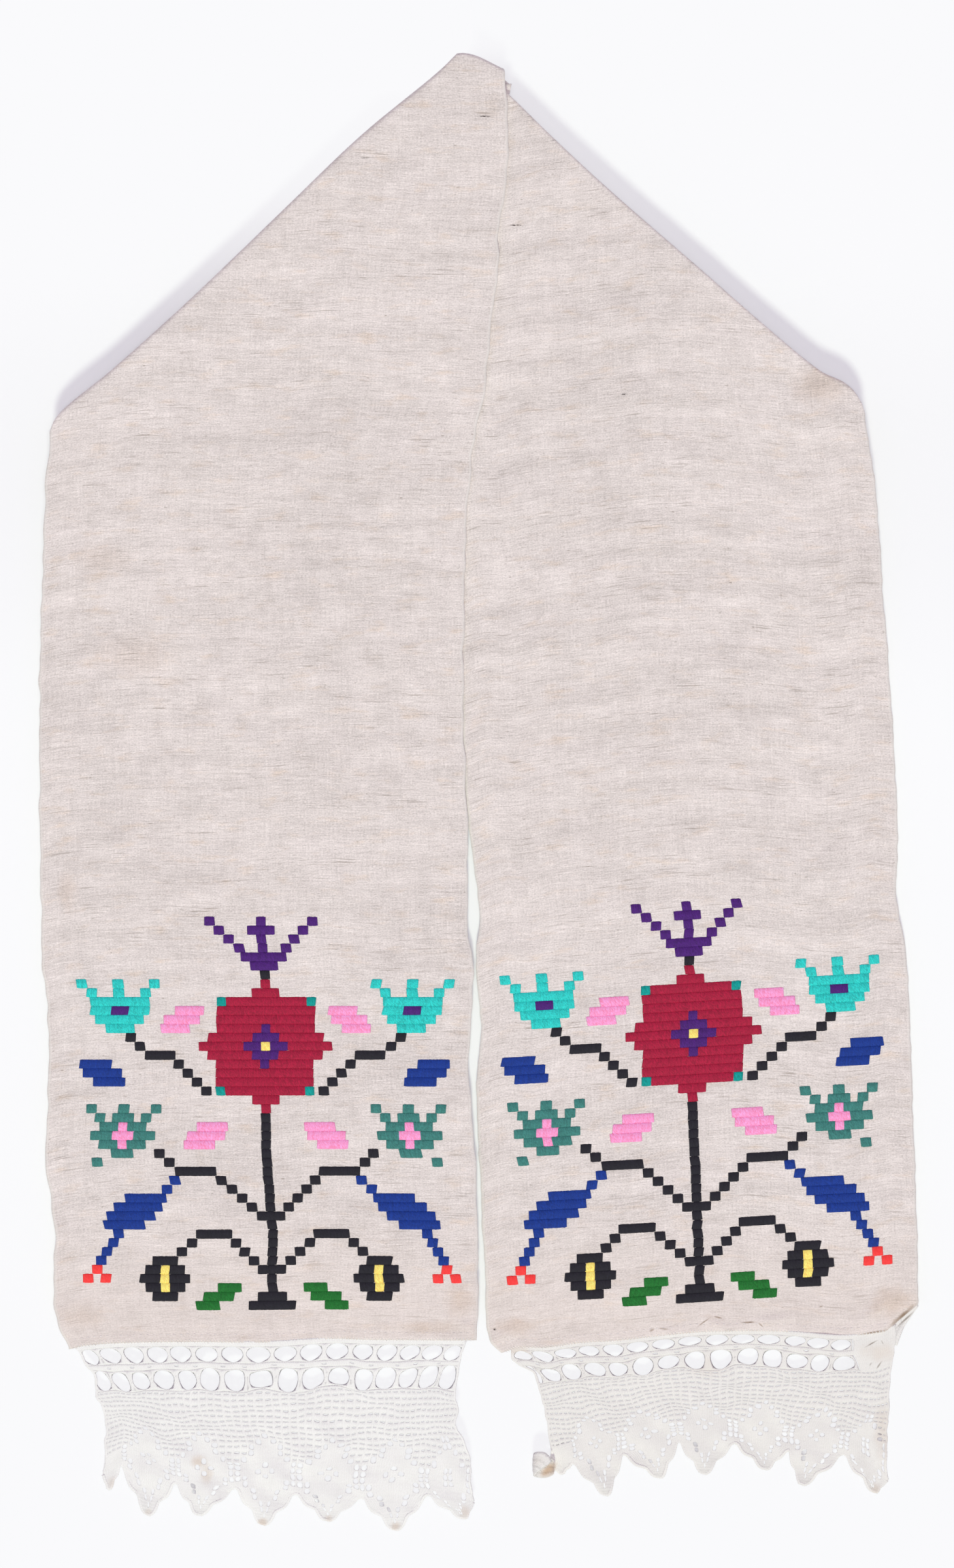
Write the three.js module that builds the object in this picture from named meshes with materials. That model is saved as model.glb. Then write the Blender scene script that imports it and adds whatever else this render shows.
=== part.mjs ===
// A rushnyk: a long linen ritual towel with crocheted lace at both ends, hung by its middle.
// One strip of linen goes up the left arm, turns over along a slanted fold, crosses behind in a
// single layer with one pleat in it, turns over a second slanted fold and comes down the right arm.
//
// Millimetres, +Z up. The front of the cloth faces -Y. The origin is the hang point, the middle of
// the short top edge, so "down" in a table is a distance below it and "across" a distance to its
// right. "share" runs over the width of the linen, from 0 at the outer selvedge to 1 at the inner.

import * as THREE from 'three';

// ---- Driving sizes ---------------------------------------------------------------------------

const LINEN = { thickness: 1.2, hemThickness: 1.8, hemDepth: 7, hemStep: 1 };
const HEM_ROWS = 2;

// `gap` parts the lace from the hem above it, measured straight down. `post` is the closed edge
// beside an open row, `hang` the length over which a lace leaves the line of the linen, and
// `belly` rounds a scallop.
const LACE = { thickness: 1.2, gap: 0.34, post: 2, hang: { from: 4, to: 150 }, belly: 0.8 };

// No fold starts higher above the hang point or lower below it than this.
const FOLD_REACH = { above: -20, below: 420 };

// How many steps the linen's grid takes along each stretch of the strip.
const STEPS = { arm: 23, bend: 7, behind: 4, turn: 5 };
const COLUMNS = { wide: 14, narrow: 5, change: 0.86 };

// The single pleat behind the top: its crease runs down along `creases`, its layers turn round
// `radius`, and it is `depth` deep at the inner selvedge and nothing at the outer one.
const PLEAT = {
  radius: 1.6, depth: 48, least: 1, fall: Math.tan(THREE.MathUtils.degToRad(8)),
  level: 4,
  heights: [
    { share: 0.0, down: 391 },
    { share: 0.5, down: 188 },
    { share: 0.8, down: 77 },
    { share: 1.0, down: 20 },
  ],
  creases: [
    { share: 0.93, across: 19.5 },
    { share: 1.0, across: 23.4 },
  ],
};

// How closely a curve's length is matched: rounds of halving, and the least turn of a pleat.
const SEARCH = { rounds: 40, leastTurn: 0.05 };

// Each arm of the linen. `front` and `back` are the depths of its two layers, `reach` is how far
// the fold bulges past where it starts, `lean` the direction in which the fold faces, and each of
// `waves` a soft ridge or trough that grows from a height down to the hem.
const LEFT_ARM = {
  front: -4.5,
  reach: 4.2,
  outer: [
    { down: 0, across: -409 },
    { down: 354, across: -409 },
    { down: 397, across: -413 },
    { down: 476, across: -416 },
    { down: 607, across: -419 },
    { down: 755, across: -418 },
    { down: 858, across: -416 },
    { down: 890, across: -411 },
    { down: 970, across: -411 },
    { down: 1037, across: -413 },
    { down: 1105, across: -404 },
    { down: 1129, across: -406 },
    { down: 1186, across: -403 },
    { down: 1212, across: -391 },
  ],
  inner: [
    { down: 0, across: 18 },
    { down: 26, across: 19.7 },
    { down: 57, across: 21.5 },
    { down: 103, across: 22 },
    { down: 118, across: 20 },
    { down: 149, across: 15 },
    { down: 164, across: 12.3 },
    { down: 189, across: 13 },
    { down: 258, across: 5 },
    { down: 315, across: 0 },
    { down: 344, across: -8 },
    { down: 435, across: -17 },
    { down: 607, across: -20 },
    { down: 740, across: -16 },
    { down: 812, across: -16 },
    { down: 862, across: -11 },
    { down: 946, across: -15 },
    { down: 1037, across: -9 },
    { down: 1151, across: -6 },
    { down: 1206, across: -8 },
  ],
  hem: [
    { share: 0.0, down: 1213 },
    { share: 0.04, down: 1209.7 },
    { share: 0.13, down: 1207 },
    { share: 0.3, down: 1205.5 },
    { share: 0.5, down: 1206 },
    { share: 0.65, down: 1203.2 },
    { share: 0.75, down: 1204.2 },
    { share: 1.0, down: 1204 },
  ],
  fold: [
    { across: -415, down: 364 },
    { across: -411, down: 346 },
    { across: -400, down: 331 },
    { across: -358, down: 297 },
    { across: -285, down: 232 },
    { across: -204, down: 155 },
    { across: -124, down: 78 },
    { across: -52, down: 17 },
    { across: -29, down: -6 },
    { across: -24, down: -8 },
    { across: -7, down: -5 },
    { across: 19, down: 7.5 },
    { across: 30, down: 12 },
  ],
  lean: [
    { share: 0.0, degrees: 131 },
    { share: 0.84, degrees: 131 },
    { share: 0.93, degrees: 78 },
    { share: 1.0, degrees: 73 },
  ],
  back: [
    { share: 0.0, depth: 4 },
    { share: 0.6, depth: 4.5 },
    { share: 0.9, depth: 10 },
    { share: 1.0, depth: 10.4 },
  ],
  waves: [
    { share: 0.08, spread: 0.1, depth: 2.2, from: 620 },
    { share: 0.36, spread: 0.15, depth: -2.6, from: 780 },
    { share: 0.66, spread: 0.13, depth: 2.4, from: 700 },
    { share: 0.95, spread: 0.08, depth: -1.8, from: 860 },
  ],
};

const RIGHT_ARM = {
  front: -1,
  reach: 2.6,
  outer: [
    { down: 0, across: 339 },
    { down: 337, across: 358 },
    { down: 368, across: 363 },
    { down: 431, across: 370.5 },
    { down: 496, across: 374 },
    { down: 644, across: 385 },
    { down: 740, across: 389 },
    { down: 785, across: 387.5 },
    { down: 835, across: 396 },
    { down: 909, across: 400 },
    { down: 1019, across: 404 },
    { down: 1172, across: 409 },
  ],
  inner: [
    { down: 0, across: -12 },
    { down: 66, across: -26 },
    { down: 127, across: -36 },
    { down: 312, across: -38 },
    { down: 496, across: -28 },
    { down: 607, across: -22.5 },
    { down: 681, across: -18.5 },
    { down: 761, across: -10 },
    { down: 807, across: -5 },
    { down: 842, across: -9 },
    { down: 912, across: -4 },
    { down: 972, across: -8.5 },
    { down: 1019, across: -6 },
    { down: 1160, across: 0.5 },
    { down: 1204, across: 4 },
    { down: 1222, across: 20 },
  ],
  // The outer corner is turned under along a slanting crease, so the hem starts high there.
  hem: [
    { share: 0.0, down: 1172 },
    { share: 0.035, down: 1185 },
    { share: 0.085, down: 1196.5 },
    { share: 0.18, down: 1200.8 },
    { share: 0.256, down: 1199 },
    { share: 0.34, down: 1196.6 },
    { share: 0.5, down: 1196.8 },
    { share: 0.6, down: 1200.3 },
    { share: 0.7, down: 1205.1 },
    { share: 0.79, down: 1207.2 },
    { share: 0.88, down: 1212 },
    { share: 0.94, down: 1212 },
    { share: 1.0, down: 1217 },
  ],
  fold: [
    { across: -30, down: 27 },
    { across: -16, down: 20 },
    { across: -4, down: 16 },
    { across: 8, down: 19 },
    { across: 21, down: 29.5 },
    { across: 60, down: 68 },
    { across: 116, down: 120.5 },
    { across: 208, down: 200.5 },
    { across: 260, down: 246 },
    { across: 317, down: 293 },
    { across: 344, down: 307 },
    { across: 357, down: 324 },
    { across: 363, down: 346 },
  ],
  lean: [
    { share: 0.0, degrees: 50 },
    { share: 0.84, degrees: 50 },
    { share: 0.95, degrees: 88 },
    { share: 1.0, degrees: 104 },
  ],
  back: [
    { share: 0.0, depth: PLEAT.level },
    { share: 1.0, depth: PLEAT.level },
  ],
  waves: [
    { share: 0.1, spread: 0.1, depth: -2.2, from: 700 },
    { share: 0.33, spread: 0.14, depth: 2.6, from: 760 },
    { share: 0.58, spread: 0.12, depth: -2.4, from: 820 },
    { share: 0.93, spread: 0.1, depth: 2.8, from: 840 },
  ],
};

// Where each lace hangs. `sides` gives its two edges, and `points` its scallops: where each tip
// is and how low it reaches, and where the notch after it is and how high that goes. `rows` are
// its two open rows: how far the middle of an opening is below the hem, its height, the share of
// its pitch that it fills, how many there are, how many of them hang open, and how much their
// widths differ.
const LEFT_LACE = {
  sides: [
    { down: 1205, left: -382, right: -16.6 },
    { down: 1227, left: -378, right: -24 },
    { down: 1245, left: -367, right: -26 },
    { down: 1270, left: -363, right: -27 },
    { down: 1288, left: -360, right: -25.5 },
    { down: 1305, left: -356.5, right: -16.6 },
    { down: 1329, left: -358, right: -13.5 },
    { down: 1350, left: -359, right: -10.5 },
  ],
  points: [
    { tip: -354, low: 1345, notch: -342, high: 1323 },
    { tip: -317, low: 1369, notch: -290, high: 1338 },
    { tip: -269, low: 1368, notch: -235, high: 1341 },
    { tip: -208.5, low: 1378, notch: -178, high: 1348 },
    { tip: -147.5, low: 1374, notch: -119, high: 1351 },
    { tip: -83.5, low: 1383, notch: -56.5, high: 1350 },
    { tip: -18, low: 1371, notch: -12, high: 1356 },
  ],
  ends: { left: 1333, right: 1352 },
  rows: [
    { drop: 13.5, height: 15, fill: 0.76, count: 16, open: 16, uneven: 0.08 },
    { drop: 36.5, height: 20, fill: 0.74, count: 16, open: 16, uneven: 0.08 },
  ],
  swing: { depth: 2.6, length: 118, lag: 0.4 },
};

const RIGHT_LACE = {
  sides: [
    { down: 1196, left: 24, right: 381 },
    { down: 1223, left: 30, right: 383 },
    { down: 1235, left: 38.5, right: 382 },
    { down: 1246, left: 49, right: 381.5 },
    { down: 1268, left: 55.5, right: 379.5 },
    { down: 1288, left: 59.5, right: 378 },
    { down: 1305, left: 52, right: 379 },
    { down: 1322, left: 46, right: 379.5 },
    { down: 1345, left: 62, right: 377.5 },
  ],
  points: [
    { tip: 72, low: 1331, notch: 83.5, high: 1320 },
    { tip: 115, low: 1350, notch: 130, high: 1312.5 },
    { tip: 165.5, low: 1334, notch: 182, high: 1299 },
    { tip: 206.5, low: 1330, notch: 233, high: 1299 },
    { tip: 265.5, low: 1327, notch: 283.5, high: 1306.5 },
    { tip: 298.5, low: 1341, notch: 336, high: 1312.5 },
    { tip: 368.5, low: 1348, notch: 376, high: 1336 },
  ],
  ends: { left: 1324, right: 1333 },
  rows: [
    { drop: 7.4, height: 9, fill: 0.76, count: 16, open: 14, uneven: 0.08 },
    { drop: 25.2, height: 14.5, fill: 0.74, count: 16, open: 14, uneven: 0.08 },
  ],
  swing: { depth: -2.4, length: 104, lag: 1.3 },
};

// Where the points of a scallop's two flanks lie, as shares of the way from a notch to the tip.
const FLANKS = { falling: [0, 0.35, 0.7, 0.92], rising: [0.92, 0.7, 0.35] };
const OPENING_SIDES = 6;

// ---- Small helpers ---------------------------------------------------------------------------

/** The smooth value of `column` where `key` has the value `at`, through the rows of a table. */
function follow(table, key, column, at) {
  const last = table.length - 1;
  const place = THREE.MathUtils.clamp(at, table[0][key], table[last][key]);
  let low = 0;
  while (low < last - 1 && table[low + 1][key] < place) low += 1;
  const [a, b] = [table[low], table[low + 1]];
  const slope = (row) => {
    const before = table[Math.max(row - 1, 0)];
    const after = table[Math.min(row + 1, last)];
    return (after[column] - before[column]) / (after[key] - before[key]);
  };
  const step = b[key] - a[key];
  const t = (place - a[key]) / step;
  return (2 * t ** 3 - 3 * t ** 2 + 1) * a[column] + (t ** 3 - 2 * t ** 2 + t) * step * slope(low)
    + (3 * t ** 2 - 2 * t ** 3) * b[column] + (t ** 3 - t ** 2) * step * slope(low + 1);
}

/** The value between `low` and `high` at which a rising function passes zero. */
function zeroOf(rising, low, high) {
  let [from, to] = [low, high];
  for (let round = 0; round < SEARCH.rounds; round += 1) {
    const middle = (from + to) / 2;
    if (rising(middle) > 0) to = middle;
    else from = middle;
  }
  return (from + to) / 2;
}

/** `count` evenly spaced numbers after `from`, ending at `to`. */
function stepsTo(from, to, count) {
  return Array.from({ length: count }, (_, i) => from + ((to - from) * (i + 1)) / count);
}

// ---- The linen -------------------------------------------------------------------------------

/** Where a lengthwise thread of an arm lies, sideways, at a distance below the hang point. */
function armAcross(arm, share, down) {
  const outer = follow(arm.outer, 'down', 'across', down);
  return outer + share * (follow(arm.inner, 'down', 'across', down) - outer);
}

/** How far forward or back an arm hangs there, with its soft waves. */
function armDepth(arm, share, down) {
  const hem = follow(arm.hem, 'share', 'down', share);
  let depth = arm.front;
  for (const wave of arm.waves) {
    const grown = THREE.MathUtils.smoothstep(down, wave.from, hem);
    depth += wave.depth * grown * Math.exp(-(((share - wave.share) / wave.spread) ** 2));
  }
  return depth;
}

/** The points of one lengthwise thread from its hem up the arm and over the slanted fold. */
function armThread(arm, share) {
  const hem = follow(arm.hem, 'share', 'down', share);
  const lean = THREE.MathUtils.degToRad(follow(arm.lean, 'share', 'degrees', share));
  const outward = { across: Math.cos(lean), up: Math.sin(lean) };
  const uphill = outward.across < 0 ? 1 : -1;
  const along = { across: outward.up * uphill, up: Math.abs(outward.across) };

  // The bend starts where its bulge just reaches the outline of the fold.
  const start = zeroOf((down) => {
    const edge = armAcross(arm, share, down) + arm.reach * outward.across;
    return down - arm.reach * outward.up - follow(arm.fold, 'across', 'down', edge);
  }, FOLD_REACH.above, FOLD_REACH.below);

  const hemTop = hem - LINEN.hemDepth;
  const downs = [hem, hemTop, hemTop - LINEN.hemStep];
  downs.push(...stepsTo(hemTop - LINEN.hemStep, start, STEPS.arm));
  const points = downs.map((down) => new THREE.Vector3(
    armAcross(arm, share, down), armDepth(arm, share, down), -down));

  const foot = points[points.length - 1];
  const behind = follow(arm.back, 'share', 'depth', share);
  const slide = ((Math.PI / 2) * (behind - foot.y) * along.up) / outward.up;
  for (const angle of stepsTo(0, Math.PI, STEPS.bend)) {
    const bulge = arm.reach * Math.sin(angle);
    const slid = slide * (angle / Math.PI);
    points.push(new THREE.Vector3(
      foot.x + outward.across * bulge + along.across * slid,
      foot.y + ((behind - foot.y) * (1 - Math.cos(angle))) / 2,
      foot.z + outward.up * bulge + along.up * slid));
  }
  return points;
}

/** The S that one lengthwise thread makes in the pleat, opening out where the pleat runs out. */
function pleatThread(share) {
  const surplus = 2 * PLEAT.depth * share;
  const wound = 2 * Math.PI * PLEAT.radius;
  const turn = surplus >= wound ? Math.PI
    : zeroOf((angle) => 1 - Math.sin(angle) / angle - surplus / wound,
      SEARCH.leastTurn, Math.PI);
  const radius = (Math.PI * PLEAT.radius) / turn;
  const length = PLEAT.least + Math.max(0, (surplus - wound) / 2);

  const rise = 2 * radius * (1 - Math.cos(turn)) + length * Math.sin(turn);
  const height = -follow(PLEAT.heights, 'share', 'down', share);
  const low = height - length * PLEAT.fall;
  const start = { x: follow(PLEAT.creases, 'share', 'across', share), y: PLEAT.level + rise };
  const points = [new THREE.Vector3(start.x, start.y, height)];
  for (const angle of stepsTo(0, turn, STEPS.turn)) {
    points.push(new THREE.Vector3(
      start.x + radius * Math.sin(angle), start.y - radius * (1 - Math.cos(angle)), height));
  }
  const middle = points[points.length - 1];
  const end = { x: middle.x + length * Math.cos(turn), y: middle.y - length * Math.sin(turn) };
  points.push(new THREE.Vector3(end.x, end.y, low));
  for (const angle of stepsTo(0, turn, STEPS.turn)) {
    points.push(new THREE.Vector3(
      end.x + radius * (Math.sin(turn) - Math.sin(turn - angle)),
      end.y - radius * (Math.cos(turn - angle) - Math.cos(turn)), low));
  }
  return points;
}

/** The points strictly between two others, easing in depth so that both ends lie flat. */
function behindThread(from, to) {
  return stepsTo(0, 1, STEPS.behind).slice(0, -1).map((t) => {
    const point = from.clone().lerp(to, t);
    point.y = THREE.MathUtils.lerp(from.y, to.y, THREE.MathUtils.smoothstep(t, 0, 1));
    return point;
  });
}

/** One lengthwise thread of the strip, from the left hem to the right one. */
function thread(share) {
  const left = armThread(LEFT_ARM, share);
  const pleat = pleatThread(share);
  const right = armThread(RIGHT_ARM, share).reverse();
  return [
    ...left, ...behindThread(left[left.length - 1], pleat[0]),
    ...pleat, ...behindThread(pleat[pleat.length - 1], right[0]), ...right,
  ];
}

/** A closed solid of a sheet, from its middle surface as rows of points and a thickness a row. */
function sheetSolid(threads, thickness) {
  const [columns, rows] = [threads.length, threads[0].length];
  const at = (c, r) => threads[THREE.MathUtils.clamp(c, 0, columns - 1)][
    THREE.MathUtils.clamp(r, 0, rows - 1)];
  const positions = [];
  for (const side of [-0.5, 0.5]) {
    for (let c = 0; c < columns; c += 1) {
      for (let r = 0; r < rows; r += 1) {
        const over = at(c + 1, r).clone().sub(at(c - 1, r));
        const up = at(c, r + 1).clone().sub(at(c, r - 1));
        const normal = up.cross(over).normalize();
        positions.push(...at(c, r).clone().addScaledVector(normal, side * thickness(r)).toArray());
      }
    }
  }
  const layer = columns * rows;
  const id = (side, c, r) => side * layer + c * rows + r;
  const index = [];
  const quad = (a, b, c, d) => index.push(a, b, c, a, c, d);
  for (let c = 0; c < columns - 1; c += 1) {
    for (let r = 0; r < rows - 1; r += 1) {
      quad(id(0, c, r), id(0, c + 1, r), id(0, c + 1, r + 1), id(0, c, r + 1));
      quad(id(1, c, r), id(1, c, r + 1), id(1, c + 1, r + 1), id(1, c + 1, r));
    }
  }
  for (let r = 0; r < rows - 1; r += 1) {
    quad(id(0, 0, r), id(0, 0, r + 1), id(1, 0, r + 1), id(1, 0, r));
    const c = columns - 1;
    quad(id(0, c, r), id(1, c, r), id(1, c, r + 1), id(0, c, r + 1));
  }
  for (let c = 0; c < columns - 1; c += 1) {
    quad(id(0, c, 0), id(1, c, 0), id(1, c + 1, 0), id(0, c + 1, 0));
    const r = rows - 1;
    quad(id(0, c, r), id(0, c + 1, r), id(1, c + 1, r), id(1, c, r));
  }
  const geometry = new THREE.BufferGeometry();
  geometry.setAttribute('position', new THREE.Float32BufferAttribute(positions, 3));
  geometry.setIndex(index);
  geometry.computeVertexNormals();
  return geometry;
}

const shares = [
  0, ...stepsTo(0, COLUMNS.change, COLUMNS.wide), ...stepsTo(COLUMNS.change, 1, COLUMNS.narrow)];
const threads = shares.map(thread);

/** The linen's thickness at a row of its grid: double cloth in the two turned hems. */
function linenThickness(row) {
  const fromEnd = Math.min(row, threads[0].length - 1 - row);
  return fromEnd < HEM_ROWS ? LINEN.hemThickness : LINEN.thickness;
}

// ---- The laces -------------------------------------------------------------------------------

/** The height of a hem at a place across, straight between the ends of the linen's threads. */
function hemHeight(hem, across) {
  let low = 0;
  while (low < hem.length - 2 && hem[low + 1].x < across) low += 1;
  const [a, b] = [hem[low], hem[low + 1]];
  return a.z + ((b.z - a.z) * (across - a.x)) / (b.x - a.x);
}

/** The scalloped lower edge of a lace, from left to right. */
function scallops(lace) {
  const points = [];
  let from = { across: follow(lace.sides, 'down', 'left', lace.ends.left), down: lace.ends.left };
  for (const { tip, low, notch, high } of lace.points) {
    const flank = (edge, t) => new THREE.Vector2(
      THREE.MathUtils.lerp(edge.across, tip, t),
      -THREE.MathUtils.lerp(edge.down, low, t ** LACE.belly));
    points.push(...FLANKS.falling.map((t) => flank(from, t)));
    const to = { across: notch, down: high };
    points.push(...FLANKS.rising.map((t) => flank(to, t)));
    from = to;
  }
  points.push(new THREE.Vector2(from.across, -from.down));
  return points;
}

/** One opening of the open rows, with a corner at each side. */
function opening(across, height, width, tall) {
  const highest = Math.cos(Math.PI / OPENING_SIDES);
  const corners = Array.from({ length: OPENING_SIDES }, (_, i) => {
    const angle = (2 * Math.PI * i) / OPENING_SIDES;
    return new THREE.Vector2(across + (width / 2) * Math.cos(angle),
      height + ((tall / 2) * Math.sin(angle)) / highest);
  });
  return new THREE.Path(corners);
}

/** A lace: a scalloped sheet under a hem, with two rows of large openings. */
function laceSolid(arm, lace, hemEdge) {
  const hem = [...hemEdge].sort((a, b) => a.x - b.x);
  const side = (name, down) => follow(lace.sides, 'down', name, down);
  const { left: topLeft, right: topRight } = lace.sides[0];
  const inside = hem.map((point) => point.x).filter(
    (x) => x > topLeft + LACE.post && x < topRight - LACE.post);
  const top = [topLeft, ...inside, topRight].map(
    (x) => new THREE.Vector2(x, hemHeight(hem, x) - LACE.gap));

  const bottom = scallops(lace);
  const flank = (name, end) => lace.sides.slice(1).filter((row) => row.down < end).map(
    (row) => new THREE.Vector2(row[name], -row.down));
  const outline = [
    ...bottom, ...flank('right', lace.ends.right).reverse(),
    ...[...top].reverse(), ...flank('left', lace.ends.left)];
  const shape = new THREE.Shape(outline);

  for (const row of lace.rows) {
    for (let i = 0; i < row.open; i += 1) {
      const place = (i + 0.5) / row.count;
      const guess = THREE.MathUtils.lerp(topLeft, topRight, place);
      const down = -hemHeight(hem, guess) + row.drop;
      const [left, right] = [side('left', down), side('right', down)];
      const pitch = (right - left - 2 * LACE.post) / row.count;
      const across = left + LACE.post + pitch * (i + 0.5);
      const uneven = 1 + row.uneven * Math.sin(row.count * (i + 1));
      shape.holes.push(opening(across, -down, pitch * row.fill * uneven, row.height));
    }
  }

  const geometry = new THREE.ExtrudeGeometry(shape, {
    depth: LACE.thickness, bevelEnabled: false, curveSegments: 1 });
  geometry.translate(0, 0, -LACE.thickness / 2);
  geometry.rotateX(Math.PI / 2);
  const position = geometry.getAttribute('position');
  const [hemLeft, hemRight] = [hem[0].x, hem[hem.length - 1].x];
  const { depth, length, lag } = lace.swing;
  for (let i = 0; i < position.count; i += 1) {
    const [x, z] = [position.getX(i), position.getZ(i)];
    const across = THREE.MathUtils.clamp((x - hemLeft) / (hemRight - hemLeft), 0, 1);
    const share = arm === LEFT_ARM ? across : 1 - across;
    const drop = hemHeight(hem, x) - z;
    const swing = depth * Math.sin((2 * Math.PI * x) / length + lag);
    const grown = THREE.MathUtils.smoothstep(drop, LACE.hang.from, LACE.hang.to);
    position.setY(i, position.getY(i) + armDepth(arm, share, -z) + swing * grown);
  }
  geometry.computeVertexNormals();
  return geometry;
}

// ---- The model -------------------------------------------------------------------------------

/** A named mesh with its own plain finish. */
function piece(name, geometry, color) {
  const mesh = new THREE.Mesh(
    geometry, new THREE.MeshStandardMaterial({ color, roughness: 0.95, metalness: 0 }));
  mesh.name = name;
  return mesh;
}

const leftHem = threads.map((points) => points[0]);
const rightHem = threads.map((points) => points[points.length - 1]);

const rushnyk = new THREE.Group();
rushnyk.add(
  piece('cloth', sheetSolid(threads, linenThickness), 0xded4cd),
  piece('lace_left', laceSolid(LEFT_ARM, LEFT_LACE, leftHem), 0xeeece6),
  piece('lace_right', laceSolid(RIGHT_ARM, RIGHT_LACE, rightHem), 0xeeece6),
);

export default rushnyk;
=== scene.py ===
"""A rushnyk: an embroidered linen ritual towel with crocheted lace ends, hung by its middle.

Everything is in metres in the frame of the part: +Z up, the front of the cloth faces -Y, and the
origin is the hang point. Tables are in millimetres: "down" is a distance below the hang point and
"across" one to its right. "share" runs over the width of the linen from 0 at its outer selvedge to
1 at its inner one, and "drop" is a distance below a hem.
"""

from __future__ import annotations

import logging
import math
from dataclasses import dataclass, field
from enum import Enum

import bpy
import numpy as np
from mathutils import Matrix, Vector


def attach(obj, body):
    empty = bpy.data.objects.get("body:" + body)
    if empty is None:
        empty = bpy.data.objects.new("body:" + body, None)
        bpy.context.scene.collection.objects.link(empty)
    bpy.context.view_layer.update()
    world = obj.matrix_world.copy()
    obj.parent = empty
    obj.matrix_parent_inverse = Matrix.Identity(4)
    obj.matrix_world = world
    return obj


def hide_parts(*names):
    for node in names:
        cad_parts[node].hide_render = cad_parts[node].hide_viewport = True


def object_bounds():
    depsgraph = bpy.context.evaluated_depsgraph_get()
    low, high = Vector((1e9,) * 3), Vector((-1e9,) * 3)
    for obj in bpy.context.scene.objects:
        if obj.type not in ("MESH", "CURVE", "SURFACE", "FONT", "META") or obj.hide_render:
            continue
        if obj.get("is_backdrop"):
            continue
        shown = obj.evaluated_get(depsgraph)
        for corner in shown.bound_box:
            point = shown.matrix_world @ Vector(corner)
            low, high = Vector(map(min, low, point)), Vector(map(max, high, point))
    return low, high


Array = np.ndarray
Object = bpy.types.Object
Material = bpy.types.Material
Socket = bpy.types.NodeSocket
Triple = tuple[float, float, float]
Shape = tuple[Array, Array]

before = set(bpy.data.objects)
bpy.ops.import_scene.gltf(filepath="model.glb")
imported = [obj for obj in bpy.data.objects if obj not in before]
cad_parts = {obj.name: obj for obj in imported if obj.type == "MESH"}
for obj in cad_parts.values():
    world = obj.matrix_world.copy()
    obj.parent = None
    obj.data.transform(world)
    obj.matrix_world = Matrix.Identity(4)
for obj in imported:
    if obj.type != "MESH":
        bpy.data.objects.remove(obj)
CAD_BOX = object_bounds()
MM = 0.001
SEED = 20

logging.basicConfig(level=logging.INFO, format="%(message)s")
log = logging.getLogger("rushnyk")


# Helpers for numbers


@dataclass(frozen=True)
class Table:
    """Rows of a key and a value, which can be followed smoothly between them.

    Args:
        key: what the first column is.
        value: what the second column is.
        rows: the rows, in rising order of the key.
    """

    key: str
    value: str
    rows: tuple[tuple[float, float], ...]

    def at(self, where: Array | float) -> Array:
        """The smooth value at each key.

        Args:
            where: keys, held at the first or last row outside the table.

        Returns:
            An array of values, one for each key.
        """
        keys, values = np.array(self.rows, float).T
        place = np.clip(np.asarray(where, float), keys[0], keys[-1])
        low = np.clip(np.searchsorted(keys, place, side="left") - 1, 0, len(keys) - 2)
        before = np.maximum(np.arange(len(keys)) - 1, 0)
        after = np.minimum(np.arange(len(keys)) + 1, len(keys) - 1)
        slopes = (values[after] - values[before]) / (keys[after] - keys[before])
        step = keys[low + 1] - keys[low]
        t = (place - keys[low]) / step
        return ((2 * t**3 - 3 * t**2 + 1) * values[low] + (t**3 - 2 * t**2 + t) * step * slopes[low]
                + (3 * t**2 - 2 * t**3) * values[low + 1] + (t**3 - t**2) * step * slopes[low + 1])


def smooth(value: Array | float, low: float, high: float) -> Array:
    """A soft step from 0 at low to 1 at high."""
    t = np.clip((np.asarray(value, float) - low) / (high - low), 0, 1)
    return t * t * (3 - 2 * t)


def after(start: float, end: float, count: int) -> Array:
    """Evenly spaced numbers after start, ending at end."""
    return start + (end - start) * np.arange(1, count + 1) / count


def unit(vectors: Array) -> Array:
    """Vectors brought to a length of 1."""
    return vectors / np.maximum(np.linalg.norm(vectors, axis=-1, keepdims=True), 1e-9)


def facing(grid: Array) -> Array:
    """Which way a grid of points faces at each of them."""
    return unit(np.cross(np.gradient(grid, axis=1), np.gradient(grid, axis=0)))


def within(corners: Array, u: Array, v: Array) -> Array:
    """A value inside four corners, which run from left to right and then from top to bottom."""
    a, b, c, d = corners
    return (a * (1 - u) + b * u) * (1 - v) + (c * (1 - u) + d * u) * v


def rings_of(sides: int, power: float) -> Shape:
    """The rim of a square one unit wide, and a rounded ring of two units, from 2 for an oval."""
    turn = np.arange(sides) * 2 * math.pi / sides
    way = np.stack([np.cos(turn), np.sin(turn)], -1)
    rim = way / np.abs(way).max(axis=1, keepdims=True) / 2
    return rim, way * (np.abs(way) ** power).sum(axis=1, keepdims=True) ** (-1 / power)


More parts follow.
